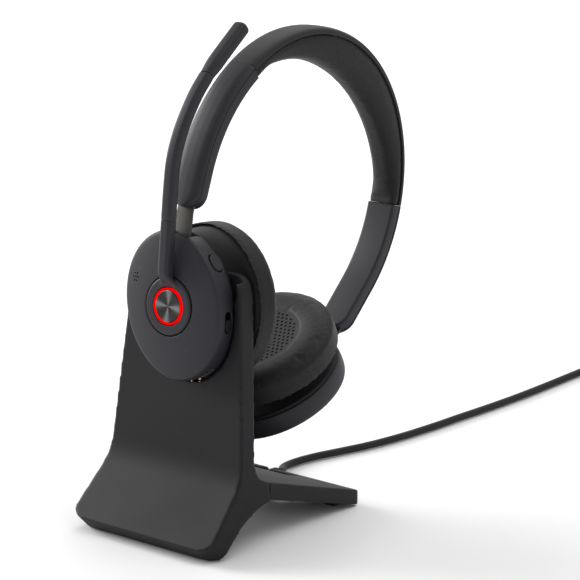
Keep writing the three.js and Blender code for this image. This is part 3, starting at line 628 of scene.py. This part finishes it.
def front_shell():
    """The plate and foot; the contact pocket is filled, and cut again after the edges are eased."""
    to_cup = STAND.inverted() @ NEAR
    filling = moved(block(2.2, 13.8, 10.7, 16.2, -37.8, -31.7), to_cup)
    shell = combined(cad_copy("stand_front_shell", STAND), [filling], "UNION")
    return combined(softened(shell, 0.6, 5), [moved(block(*CONTACT_POCKET), to_cup)])


finished(front_shell(), STAND, "stand_front_shell", angle=50)
leg = softened(cad_copy("stand_rear_leg", STAND), 0.62, 4)
finished(leg, STAND, "stand_rear_leg", angle=60)
for node, width in (("leg_base_plate", 0.3), ("foot_pad_front", 0.25), ("foot_pad_rear_left", 0.4),
                    ("foot_pad_rear_right", 0.4), ("contact_block", 0.3)):
    finished(bevelled(cad_copy(node, STAND), width), STAND, node)
liner = softened(cad_copy("notch_liner", NEAR), 0.3, 3)
finished(liner, NEAR, "notch_liner", angle=60)


def gland():
    """Ribbed sleeve where the cable leaves the leg; its axis runs along Y."""
    profile = [(0, 0), (2.9, 0), (2.9, 5.6)]
    for k in range(4):
        at = 6.1 + 1.9 * k
        radius = 2.75 - 0.13 * k
        profile += [(radius, at), (radius, at + 1.1), (radius - 0.45, at + 1.25), (radius - 0.45, at + 1.75)]
    profile += [(2.2, GLAND_LENGTH), (0, GLAND_LENGTH)]
    x, y, z = CORD_EXIT
    place = STAND @ Matrix.Translation((x, y - GAP - GLAND_LENGTH, z))
    finished(lathe("gland", rounded(profile, 0.18), 40), place, "cable_gland")


gland()


def cable_tie():
    """Hook-and-loop strap round one side of the coil."""
    inner, outer = COIL_RADII[-1] - CORD_RADIUS, COIL_RADII[0] + CORD_RADIUS
    height = 4 * CORD_RADIUS
    near, far, top = inner - 1.2, outer + 0.8, height + 0.85
    line = rounded([(near, 0.2), (near, top), (far, top), (far, 0.2)], 2.2, steps=8)
    section = round_rect(3, 0.35, 0.3, 3)
    rings = []
    for i, here in enumerate(line):
        before, after = line[max(i - 1, 0)], line[min(i + 1, len(line) - 1)]
        along = (after - before).normalized()
        rings.append([(a, here.x + along.y * b, here.y - along.x * b) for a, b in section])
    place = STAND @ Matrix.Translation((*COIL_CENTRE, 0))
    return finished(mesh_object("tie", rings), place, "cord_tie", angle=50)


def plug():
    """USB plug with a ribbed relief, grip dimples, a steel shell with two windows and a tongue."""
    place = STAND @ Matrix.Translation((TAIL_ROUTE[-1][0], TAIL_ROUTE[-1][1] - GAP, PLUG_HEIGHT))
    profile = [(0, -9), (2.3, -9), (2.3, -7.4)]
    for k in range(3):
        at = -7.0 + 2.1 * k
        radius = 2.25 - 0.1 * k
        profile += [(radius, at), (radius, at + 1.2), (radius - 0.4, at + 1.4), (radius - 0.4, at + 1.9)]
    profile += [(1.9, -0.4), (1.9, 0), (0, 0)]
    relief_place = place @ Matrix.Translation((0, 0, TAIL_ROUTE[-1][2] - PLUG_HEIGHT))
    relief = finished(lathe("relief", rounded(profile, 0.15), 36), relief_place, "plug_strain_relief")

    rings = []
    for y, inset in ((-9.3, 1.1), (-9.6, 0.45), (-10.3, 0), (-30.9, 0), (-31.7, 0.4), (-32, 1.0)):
        rings.append([(a, y, b) for a, b in round_rect(8 - inset, 4.05 - inset, 2 - inset * 0.5, 6)])
    housing = mesh_object("plug", rings)
    dimples = []
    for k in range(4):
        at = -14.5 - 2.4 * k
        for face in (-1, 1):
            dimples.append(rod("x", 0.7, -4.6, 4.6, (at, face * 4.35), 16))
    housing = softened(combined(housing, dimples), 0.3, 3)
    housing = finished(housing, place, "plug_body", angle=60)

    sleeve = cad_copy("plug_shell", place)
    windows = [block(x - 1.3, x + 1.3, -40.2, -37.4, 1, 3) for x in (-2.7, 2.7)]
    sleeve = finished(bevelled(combined(sleeve, windows), 0.12, 2), place, "plug_shell")
    tongue = finished(bevelled(cad_copy("plug_tongue", place), 0.12, 2), place, "plug_tongue")
    return [relief, housing, sleeve, tongue]


[cable_tie()] + plug()

# ------------------------ ear cups


def on_rim(obj, degrees):
    """Moves a tool that faces +X onto the oval rim, at an angle measured from its long axis."""
    angle, turn = math.radians(degrees), math.radians(CUP_TILT)
    long, short = CUP_LONG * math.cos(angle), CUP_SHORT * math.sin(angle)
    x = short * math.cos(turn) - long * math.sin(turn)
    z = short * math.sin(turn) + long * math.cos(turn)
    a, b = math.cos(angle) / CUP_LONG, math.sin(angle) / CUP_SHORT
    facing = math.atan2(b * math.sin(turn) + a * math.cos(turn), b * math.cos(turn) - a * math.sin(turn))
    return moved(obj, Matrix.Translation((x, 0, z)) @ Matrix.Rotation(-facing, 4, "Y"))


def rim_tool(half_a, half_b, corner, degrees):
    """Tool with a round-cornered section that cuts into the rim."""
    section = [(a + 8.6, b) for a, b in round_rect(half_a, half_b, corner, 8)]
    return on_rim(mesh_object("tool", [[(x, a, b) for a, b in section] for x in (-3, 3)]), degrees)


DOME = [(0, 0.4), (0.2, 0.45), (0.35, 0.6), (0.5, 0.85), (0.6, 1.08), (0.7, 1.38), (0.8, 1.76),
        (0.87, 2.08), (0.93, 2.4), (0.965, 2.66), (0.985, 3.0), (0.997, 4.1)]
COVER_SIDE = [(1.003, 5.2), (1.005, 8), (0.999, 10.4), (0.99, COVER_BACK - 0.25), (0.983, COVER_BACK),
              (0.945, COVER_BACK), (0.94, COVER_BACK - 0.3), (0.94, 6.6), (0.9, 5), (0.78, 3.9)]
COVER_SIDES = 180
FACE_STEPS = 26


def dome_depth(radius):
    """Depth of the housing's face at a radius, where 1 is the oval's edge."""
    for (r0, d0), (r1, d1) in zip(DOME, DOME[1:]):
        if radius <= r1:
            return d0 + (d1 - d0) * (radius - r0) / (r1 - r0)
    return DOME[-1][1]


def cover(opening):
    """Housing cover with a crowned oval face; the near one has a round opening for the boom's hub."""
    turn = math.radians(CUP_TILT)
    c, s = math.cos(turn), math.sin(turn)

    def oval(radius):
        """Points (x, height) round the oval at a radius, where 1 is its edge."""
        points = []
        for across, up in around(COVER_SIDES):
            x, u = CUP_SHORT * radius * across, CUP_LONG * radius * up
            points.append((x * c - u * s, x * s + u * c))
        return points

    def norm(x, u):
        return math.hypot((x * c + u * s) / CUP_SHORT, (u * c - x * s) / CUP_LONG)

    def middle_of(x, u):
        """Where the face ends on the way in from an edge point: the opening's rim, or the centre."""
        share = HUB_OPENING / math.hypot(x, u) if opening else 0
        return x * share, u * share

    edge = [(middle_of(x, u), (x, u)) for x, u in oval(DOME[-1][0])]
    rings = []
    for k in range(FACE_STEPS + 1):
        blend = 1 - (1 - k / FACE_STEPS) ** 1.6
        ring = []
        for (x0, u0), (x1, u1) in edge:
            x, u = x0 + (x1 - x0) * blend, u0 + (u1 - u0) * blend
            ring.append((x, dome_depth(norm(x, u)), u))
        rings.append(ring)
    for radius, depth in COVER_SIDE:
        rings.append([(x, depth, u) for x, u in oval(radius)])
    inner = oval(COVER_SIDE[-1][0])
    if opening:
        back = [middle_of(x, u) for x, u in inner]
        rings.append([(x, 2.45, u) for x, u in back])
    else:
        for share, depth in ((0.6, 2.9), (0.0, 2.3)):
            rings.append([(x * share, depth, u * share) for x, u in inner])
    return mesh_object("cover", rings, wrap=opening)


def slider_slot():
    return block(-4.8, 4.8, 3.8, 20, 25, 40)


MIC_HOLES = [(x, u) for u, row in ((1.5, (-0.7, 0.7)), (0, (-1.4, 0, 1.4)), (-1.5, (-0.7, 0.7))) for x in row]
MIC_HOLES_AT = (-19.5, 9.1)


def near_cover():
    """The cover with its button, switch, port and contact openings, and seven microphone holes."""
    tools = [
        slider_slot(),
        rim_tool(3.2, 4, 2.9, PILL_AT),
        rim_tool(1.9, 4.4, 1.8, SWITCH_AT),
        on_rim(block(-5, 4, 6.9, 10.7, -4.6, 4.6), PORT_AT),
    ]
    tools += [rod("z", 0.95, -40, top_end, (x, CONTACT_DEPTH)) for x, top_end in CHARGE_CONTACTS]
    body = softened(combined(cover(True), tools), 0.4, 3)
    return combined(body, [rod("y", 0.4, -1, 5, (MIC_HOLES_AT[0] + x, MIC_HOLES_AT[1] + u), 16)
                           for x, u in MIC_HOLES])


finished(near_cover(), NEAR, "near_housing_cover", angle=50)
finished(softened(combined(cover(False), [slider_slot()]), 0.42, 3), FAR, "far_housing_cover", angle=50)


def housing_base():
    """Inner plate of a housing with its neck, the speaker's yoke and the ears of the tilt pin."""
    profile = rounded([(0, BASE_FRONT), (0.985, BASE_FRONT), (0.96, BASE_BACK), (0, BASE_BACK)],
                      [0, 0.02, 0.02, 0])
    plate = lathe("base", profile, 150, scale=(CUP_SHORT, CUP_LONG), turn=CUP_TILT)
    ear_back = BASE_FRONT + 0.5
    adds = [rod("y", NECK_RADIUS, 13, 18.7, (0, 0), 64), block(-3, 3, 18, PIVOT_DEPTH, -4, 4),
            rod("z", 2.5, -4, 4, (0, PIVOT_DEPTH), 40), block(-6.6, -4.9, 4.9, ear_back, 19.9, 24.1),
            block(4.9, 6.4, 4.9, ear_back, 19.9, 23.6)]
    combined(plate, adds, "UNION")
    combined(plate, [rod("z", 1.5, -10, 10, (0, PIVOT_DEPTH)), rod("x", 1.3, -8, 8, TILT_PIN)])
    return softened(plate, 0.42, 2)


def speaker_shell():
    """Back dish of the speaker, with its pivot lugs and the pocket they sit in."""
    r = SPEAKER_RADIUS
    profile = rounded([(0, 1.6), (r - 6, 1.6), (r - 2.4, 2.8), (r - 1.3, 4.4), (r - 1.3, 8.6), (r - 3, 8.6),
                       (r - 3, 5), (r - 6.4, 3.4), (0, 3.4)], [0, 3, 1.6, 1.2, 0.5, 0.4, 1, 1, 0])
    shell = lathe("shell", profile, 140)
    combined(shell, [block(-3.4, 3.4, -1.9, 2.4, 4.4, 7), block(-3.4, 3.4, -1.9, 2.4, -7, -4.4)], "UNION")
    combined(shell, [block(-6, 6, -5, 2.8, -4.4, 4.4), rod("z", 1.65, -12, 12, (0, 0))])
    return softened(shell, 0.45, 2)


def twin(obj, side):
    """A second object with its own copy of the mesh."""
    copy = bpy.data.objects.new(side, obj.data.copy())
    bpy.context.scene.collection.objects.link(copy)
    return copy


base, dish = housing_base(), speaker_shell()
for side, cup, speaker in SIDES:
    finished(twin(base, side), cup, f"{side}_housing_base", angle=50)
    finished(twin(dish, side), speaker, f"{side}_speaker_shell", angle=50)
remove(base)
remove(dish)

# ------------------------ boom, lights and buttons


def stations(points, section_of):
    """Rings along a line in (depth, height); section_of gives (across, out) points at each place."""
    rings = []
    for i, (d, u) in enumerate(points):
        before, after = points[max(i - 1, 0)], points[min(i + 1, len(points) - 1)]
        along = Vector((0, after[0] - before[0], after[1] - before[1])).normalized()
        out = along.cross(Vector((1, 0, 0)))
        rings.append([(a, d + out.y * b, u + out.z * b) for a, b in section_of(i / (len(points) - 1))])
    return rings


def boom_section(half_a, half_b, corner, end_round, end_shrink):
    """Section that shrinks a little at both ends, so that the ends are rounded."""
    def section(t):
        away = min(min(t, 1 - t) / end_round, 1)
        size = 1 - end_shrink + end_shrink * math.sqrt(max(0, 1 - (1 - away) ** 2))
        return [(a * size, b * size) for a, b in round_rect(half_a, half_b, corner, 6)]
    return section


HUB_PROFILE = [(4.5, 1.7), (8, 1.7), (8, 0.3), (11.6, 0.3), (12, 0.8), (12, 2.6), (6, 2.6),
               (6, 8.5), (4.5, 8.5)]
HUB_ROUNDING = [0.1, 0.1, 0.12, 0.2, 0.2, 0.1, 0.1, 0.1, 0.1]
BOOM_DEPTH = BOOM_LINE[0][0]
BOOM_FRONT = BOOM_DEPTH - 2.5
ROOT_FLARE = [(8.3, 0.2, 5.0), (9.2, -0.35, 4.5), (10.4, -1.6, 3.8), (11.6, -3.1, 3.25),
              (12.6, -4.2, 2.95), (13.8, -4.75, 2.8), (16, BOOM_FRONT, 2.8), (35.4, BOOM_FRONT, 2.8),
              (35.55, BOOM_FRONT + 0.05, 2.76)]


def boom_hub():
    """Ring disc that turns in the cover, with the boom's root growing out of it in a flare."""
    disc = lathe("hub", rounded(HUB_PROFILE, HUB_ROUNDING, closed=True), 128, closed=True)
    root = []
    for u, front, half in ROOT_FLARE:
        back = 1.2 if u < 11.4 else BOOM_DEPTH + 2.5
        middle, half_d = (front + back) / 2, (back - front) / 2
        root.append([(a, middle + b, u) for a, b in round_rect(half, half_d, min(1.5, half_d * 0.8), 6)])
    combined(disc, [mesh_object("tool", root)], "UNION")
    return softened(disc, 0.3, 4)


finished(boom_hub(), NEAR, "boom_hub", angle=50)
arm_line = [(BOOM_DEPTH, 35.62)] + smooth_line(BOOM_LINE[2:9], 14)[1:]
arm_rings = stations(arm_line, boom_section(2.8, 2.5, 1.6, 0.004, 0.03))
finished(mesh_object("arm", arm_rings), NEAR, "boom_arm", angle=40)


def boom_tip():
    """Microphone end with a slit on its inner side."""
    points = [Vector(p) for p in BOOM_LINE[8:12]]
    points[0] += (points[1] - points[0]).normalized() * 0.1
    line = smooth_line(points, 16)
    end = boom_section(3.4, 3, 2.4, 0.05, 0.2)

    def section(t):
        grown = min(1, 0.84 + 0.16 * t / 0.22)
        return [(a * grown, b * grown) for a, b in end(max(t, 0.5))]

    tip = mesh_object("tip", stations(line, section))
    at = len(line) * 3 // 5
    middle, ahead = line[at], line[at + 2]
    angle = math.atan2(ahead[0] - middle[0], ahead[1] - middle[1])
    slit = block(-1.5, 1.5, 1.7, 4, -3.2, 3.2)
    moved(slit, Matrix.Translation((0, middle[0], middle[1])) @ Matrix.Rotation(-angle, 4, "X"))
    return softened(combined(tip, [slit]), 0.32, 2)


finished(boom_tip(), NEAR, "boom_tip", angle=50)
ring_profile = rounded([(6.9, 0.05), (7.55, 0.05), (7.55, 1.4), (6.9, 1.4)], [0.3, 0.3, 0.1, 0.1],
                       closed=True)
finished(lathe("ring", ring_profile, 96, closed=True), NEAR, "light_ring")
button_profile = rounded([(0, 0.5), (2.5, 0.42), (4.4, 0.26), (6.3, 0.12), (6.65, 0.35), (6.65, 1.1),
                          (3, 1.1), (3, 3), (0, 3)], [0, 0.8, 0.8, 0.2, 0.15, 0.1, 0.1, 0.1, 0])
finished(lathe("button", button_profile, 96), NEAR, "call_button")
for node in ("pill_button", "power_switch"):
    finished(softened(cad_copy(node, NEAR), 0.2, 4), NEAR, node, angle=60)

# ------------------------ headband


def band_point(degrees, depth):
    """Point in (y, z) of the headband's frame, at a depth below its outer surface."""
    def on_line(value):
        angle = math.radians(min(max(value, -STRAIGHT), 180 + STRAIGHT))
        rest = math.radians(value) - angle
        return Vector((-BAND_HALF_SPAN * math.cos(angle) + BAND_HALF_SPAN * math.sin(angle) * rest,
                       BAND_RISE * math.sin(angle) + BAND_RISE * math.cos(angle) * rest))
    here = on_line(degrees)
    along = (on_line(degrees + 0.5) - on_line(degrees - 0.5)).normalized()
    return here + Vector((along.y, -along.x)) * depth


def band_sweep(name, section_of, angles):
    """Closed sweep along the band; section_of gives (across, depth) points for an angle along it."""
    return mesh_object(name, [[(a, *band_point(degrees, depth)) for a, depth in section_of(degrees)]
                              for degrees in angles])


def even_angles(start, end, steps=110):
    return [start + (end - start) * i / steps for i in range(steps + 1)]


END_REACH = 6.2


def end_width(degrees, end):
    """Half width of an arm, rounded in plan at its free end."""
    away = abs(degrees - end) * math.radians(1) * (BAND_HALF_SPAN + BAND_RISE) / 2
    if away >= END_REACH:
        return BAND_HALF_WIDTH
    return BAND_HALF_WIDTH - (END_REACH - math.sqrt(max(END_REACH ** 2 - (END_REACH - away) ** 2, 0)))


def shell_section(width, wall, flange):
    """Crowned outside with two flanges."""
    w = width
    flat = min(w - 1.6, w * 0.8)
    outside = rounded([(-w, flange), (-w, 1.7), (-w + 1.1, 0.6), (-w / 2, 0.12), (0, 0), (w / 2, 0.12),
                       (w - 1.1, 0.6), (w, 1.7), (w, flange)], 0.9)
    inside = rounded([(w, flange), (flat, flange), (flat, wall), (-flat, wall), (-flat, flange),
                      (-w, flange)], [0, 0.15, 0.15, 0.15, 0.15, 0], steps=2)
    return outside + inside[1:-1]


def liner_section(width, thickness):
    """Channel with a floor and two side walls."""
    w, back = width, thickness
    inner = min(w - 1.6, w * 0.8)
    return rounded([(-w, 2.75), (-inner, 2.75), (-inner, LINER_FLOOR), (inner, LINER_FLOOR), (inner, 2.75),
                    (w, 2.75), (w, back - 0.5), (w - 0.7, back), (0.7 - w, back), (-w, back - 0.5)],
                   [0.35, 0.1, 0.1, 0.1, 0.1, 0.35, 0.4, 0.5, 0.5, 0.4], closed=True, steps=3)


SPLIT_CHAMFER = 0.3
CHAMFER_REACH = 0.35


def arm_angles(start, end, steps=90, crowd=1.8):
    """Angles along an arm: the chamfer at the split, then closer together towards the round end."""
    way = 1 if end > start else -1
    spread = [start + (end - start) * (1 - (1 - i / steps) ** crowd) for i in range(1, steps + 1)]
    near_split = [start, start + way * CHAMFER_REACH / 2, start + way * CHAMFER_REACH]
    return near_split + [v for v in spread if abs(v - start) > CHAMFER_REACH * 1.5]


def arm(side, split_end, round_end):
    """The shell and the liner of one arm, chamfered at the split and round at the free end."""
    def size(degrees):
        cut = SPLIT_CHAMFER * max(0, 1 - abs(degrees - split_end) / CHAMFER_REACH)
        return max(end_width(degrees, round_end), 1.9) - cut, BAND_THICKNESS - cut

    sections = {"shell": lambda degrees: shell_section(size(degrees)[0], 2.0, 2.3),
                "liner": lambda degrees: liner_section(*size(degrees))}
    for part, section in sections.items():
        node = f"{side}_arm_{part}"
        finished(band_sweep(node, section, arm_angles(split_end, round_end)), BAND, node, angle=32)


SEAM = 0.06
arm("near", NEAR_SPLIT - SEAM, NEAR_END)
arm("far", FAR_SPLIT + SEAM, FAR_END)
top_section = shell_section(BAND_HALF_WIDTH, 2.4, 3.2)
top = band_sweep("top", lambda degrees: top_section, even_angles(NEAR_SPLIT, FAR_SPLIT))
finished(top, BAND, "top_cover", angle=32)
for node, matrix in (("near_slider", NEAR), ("far_slider", FAR)):
    finished(bevelled(cad_copy(node, matrix), 0.22), matrix, node)

# ------------------------ pads and cushions


def pad_depth(degrees):
    middle = (NEAR_SPLIT + FAR_SPLIT) / 2
    away = min(abs(degrees - middle) / (FAR_SPLIT - middle), 1)
    return BAND_THICKNESS + PAD_EXTRA * (1 - away * away) ** 1.5


SIM_SCALE = 10  # the cloth is blown up at ten times its size, where the solver is steady
SIM_FRAMES = 20


def inflated(obj, voxel, held, cap):
    """Lets air into a pad: remeshes it, blows it up a little as cloth, and caps how far a point may move."""
    grid = obj.modifiers.new("grid", "REMESH")
    grid.mode = "VOXEL"
    grid.voxel_size = voxel
    applied(obj)
    before = [v.co.copy() for v in obj.data.vertices]
    obj.data.transform(Matrix.Scale(MM * SIM_SCALE, 4))
    group = obj.vertex_groups.new(name="held")
    group.add([i for i, co in enumerate(before) if held(co)], 1.0, "REPLACE")
    cloth = obj.modifiers.new("cloth", "CLOTH")
    settings = cloth.settings
    settings.quality = 6
    settings.mass = 0.3
    settings.tension_stiffness = settings.compression_stiffness = 15
    settings.bending_stiffness = 1.5
    settings.use_pressure = True
    settings.uniform_pressure_force = 4.0
    settings.vertex_group_mass = "held"
    settings.effector_weights.gravity = 0
    cloth.collision_settings.use_collision = False
    scene = bpy.context.scene
    cloth.point_cache.frame_start = 1
    cloth.point_cache.frame_end = SIM_FRAMES
    for step in range(1, SIM_FRAMES + 1):
        scene.frame_set(step)
    mesh = bpy.data.meshes.new_from_object(obj.evaluated_get(bpy.context.evaluated_depsgraph_get()))
    after = [v.co / (MM * SIM_SCALE) for v in mesh.vertices]
    obj.modifiers.clear()
    obj.vertex_groups.clear()
    scene.frame_set(1)
    bpy.data.meshes.remove(mesh)
    for vertex, old, new in zip(obj.data.vertices, before, after):
        move = new - old
        if move.length > cap:
            move *= cap / move.length
        vertex.co = old + move
    ease = obj.modifiers.new("ease", "SMOOTH")
    ease.factor = 0.5
    ease.iterations = 3
    finer = obj.modifiers.new("finer", "SUBSURF")
    finer.levels = 1
    return applied(obj)


def pressed(obj, depth_at):
    """Moves each point inward along its normal by what depth_at says, for seams and dimples."""
    moves = [v.normal * -depth_at(v.co) for v in obj.data.vertices]
    for vertex, move in zip(obj.data.vertices, moves):
        vertex.co += move


HOLE_PITCH = 2.3
HOLE_RADIUS = 0.55
PERFORATED_RADIUS = 16.8


def ear_cushion():
    """Foam ring under leatherette that wraps the speaker's side, dished and perforated in the middle."""
    edge = SPEAKER_RADIUS
    profile = rounded([(19.4, 9.0), (edge - 1.1, 9.0), (edge - 1.1, 2.7), (edge - 0.6, 2.4),
                       (edge - 0.3, 3.4), (edge - 0.35, 11.2), (edge - 1.4, 13.1), (edge - 3.8, 14.3),
                       (edge - 7.2, 14.85), (edge - 11, 14.6), (17.2, 13.9), (9, 13.35), (0, 13.25),
                       (0, 10.9), (19.4, 10.9)],
                      [0.2, 0.2, 0.2, 0.2, 0.8, 1, 1.4, 2, 2.4, 2.4, 2, 2, 0, 0, 0.2])
    pad = lathe("cushion", profile, 110, closed=True)
    inflated(pad, 0.62, lambda co: co.y < 10.6 or math.hypot(co.x, co.z) < 18, 0.45)

    def seam(co):
        r = math.hypot(co.x, co.z)
        if r > edge - 2:
            puckers = 0.05 * math.sin(math.atan2(co.z, co.x) * 52) * math.exp(-((co.y - 4) / 0.9) ** 2)
            return 0.16 * math.exp(-((co.y - 4.1) / 0.25) ** 2) + puckers
        return 0.1 * math.exp(-((r - 18.6) / 0.5) ** 2) if co.y > 12.8 else 0

    pressed(pad, seam)
    bm = bmesh.new()
    for row in range(-9, 10):
        for column in range(-9, 10):
            x = HOLE_PITCH * (column + (0.5 if row % 2 else 0))
            u = HOLE_PITCH * 0.866 * row
            if math.hypot(x, u) < PERFORATED_RADIUS:
                place = Matrix.Translation((x, 13.2, u)) @ Matrix.Rotation(math.pi / 2, 4, "X")
                bmesh.ops.create_cone(bm, segments=10, radius1=HOLE_RADIUS, radius2=HOLE_RADIUS, depth=2.6,
                                      cap_ends=True, matrix=place)
    return combined(pad, [rod("y", 14.6, 10, 13.05, (0, 0), 64), object_of("tool", bm)])


def speaker_cloth():
    """Thin woven disc behind the perforated leatherette."""
    profile = [(0, 12.0), (14.2, 12.35), (14.3, 12.7), (14.1, 12.98), (9, 12.85), (0, 12.65)]
    return lathe("cloth", rounded(profile, 0.15), 96)


ear_pad = ear_cushion()
for side, cup, speaker in SIDES:
    cushion = finished(twin(ear_pad, side), speaker, f"{side}_ear_cushion", angle=50)
    finished(speaker_cloth(), speaker, f"{side}_speaker_cloth", angle=40)
remove(ear_pad)


def top_pad():
    """Foam pad under the top of the headband: crowned, thickest in the middle, a seam along each side."""
    def section(degrees):
        deep = pad_depth(degrees)
        ends = min(degrees - NEAR_SPLIT, FAR_SPLIT - degrees)
        w = BAND_HALF_WIDTH - 0.2
        low = deep + 0.15 - 0.5 * min(1, ends / 9)
        crown = min(0.35 + 1.65 * min(1, ends / 9), (low - 3.7) * 0.55)
        return rounded([(-w, 3.3), (w, 3.3), (w, low - crown), (w * 0.72, low - 0.22 * crown), (0, low),
                        (-w * 0.72, low - 0.22 * crown), (-w, low - crown)],
                       [0.1, 0.1, 1.6, 2, 2.4, 2, 1.6], closed=True)

    def on_band(co):
        """A point's angle along the band and its distance from the outer surface."""
        degrees = math.degrees(math.atan2(co.z / BAND_RISE, -co.y / BAND_HALF_SPAN))
        return degrees, (band_point(degrees, 0) - Vector((co.y, co.z))).length

    def held(co):
        degrees, depth = on_band(co)
        return depth < 4.4 or degrees < NEAR_SPLIT + 2 or degrees > FAR_SPLIT - 2

    def seam(co):
        depth = on_band(co)[1]
        return 0.18 * math.exp(-((depth - 4.9) / 0.3) ** 2) if abs(co.x) > 5.8 else 0

    pad = band_sweep("pad", section, even_angles(NEAR_SPLIT + 0.05, FAR_SPLIT - 0.05))
    inflated(pad, 0.9, held, 0.55)
    pressed(pad, seam)
    for split, way in ((NEAR_SPLIT, -1), (FAR_SPLIT, 1)):
        origin = band_point(split, 0)
        along = (band_point(split + 0.5, 0) - band_point(split - 0.5, 0)).normalized() * way
        for vertex in pad.data.vertices:
            offset = Vector((vertex.co.y, vertex.co.z)) - origin
            if offset.length < 12 and offset.dot(along) > -0.75:
                move = along * (-0.03 - offset.dot(along))
                vertex.co += Vector((0, move.x, move.y))
    return pad


cushion = finished(top_pad(), BAND, "top_pad", angle=None)

# ------------------------ CAD nodes kept as they are

for name, node in frame["nodes"].items():
    node.data.materials.clear()
    node.data.materials.append(MATERIALS[SLOT_OF[name]])

# ------------------------ floor and light

FLOOR_RADIUS = 9
FLOOR_COLOUR = (0.9, 0.9, 0.9, 1)


def floor():
    bm = bmesh.new()
    bmesh.ops.create_circle(bm, cap_ends=True, segments=128, radius=FLOOR_RADIUS)
    plane = object_of("floor", bm)
    s = Shader("floor")
    tone = s.noise(3, 2)
    plane.data.materials.append(s.surface(s.mix(tone, FLOOR_COLOUR, shade(FLOOR_COLOUR[:3], 0.985)),
                                          s.remap(tone, 0.3, 0.7, 0.75, 0.85)))


def softbox(name, place, aim, size, power):
    data = bpy.data.lights.new(name, "AREA")
    data.shape = "RECTANGLE"
    data.size, data.size_y = size
    data.energy = power
    lamp = bpy.data.objects.new(name, data)
    lamp.location = place
    lamp.rotation_euler = (Vector(aim) - Vector(place)).to_track_quat("-Z", "Y").to_euler()
    bpy.context.scene.collection.objects.link(lamp)


floor()
softbox("key", (-2.2, -0.45, 0.95), (0, 0, 0.1), (1.3, 1.3), 60)
softbox("top", (0.7, 0.5, 1.7), (0, 0, 0.1), (1.2, 1.2), 8)
softbox("back", (-0.9, 1.7, 1.9), (-0.9, 1.4, 0), (1.6, 1.6), 20)
world = bpy.data.worlds.new("studio")
world.use_nodes = True
world.node_tree.nodes["Background"].inputs["Color"].default_value = (1, 1, 1, 1)
world.node_tree.nodes["Background"].inputs["Strength"].default_value = 0.6
bpy.context.scene.world = world
bpy.context.scene.view_settings.view_transform = "Standard"
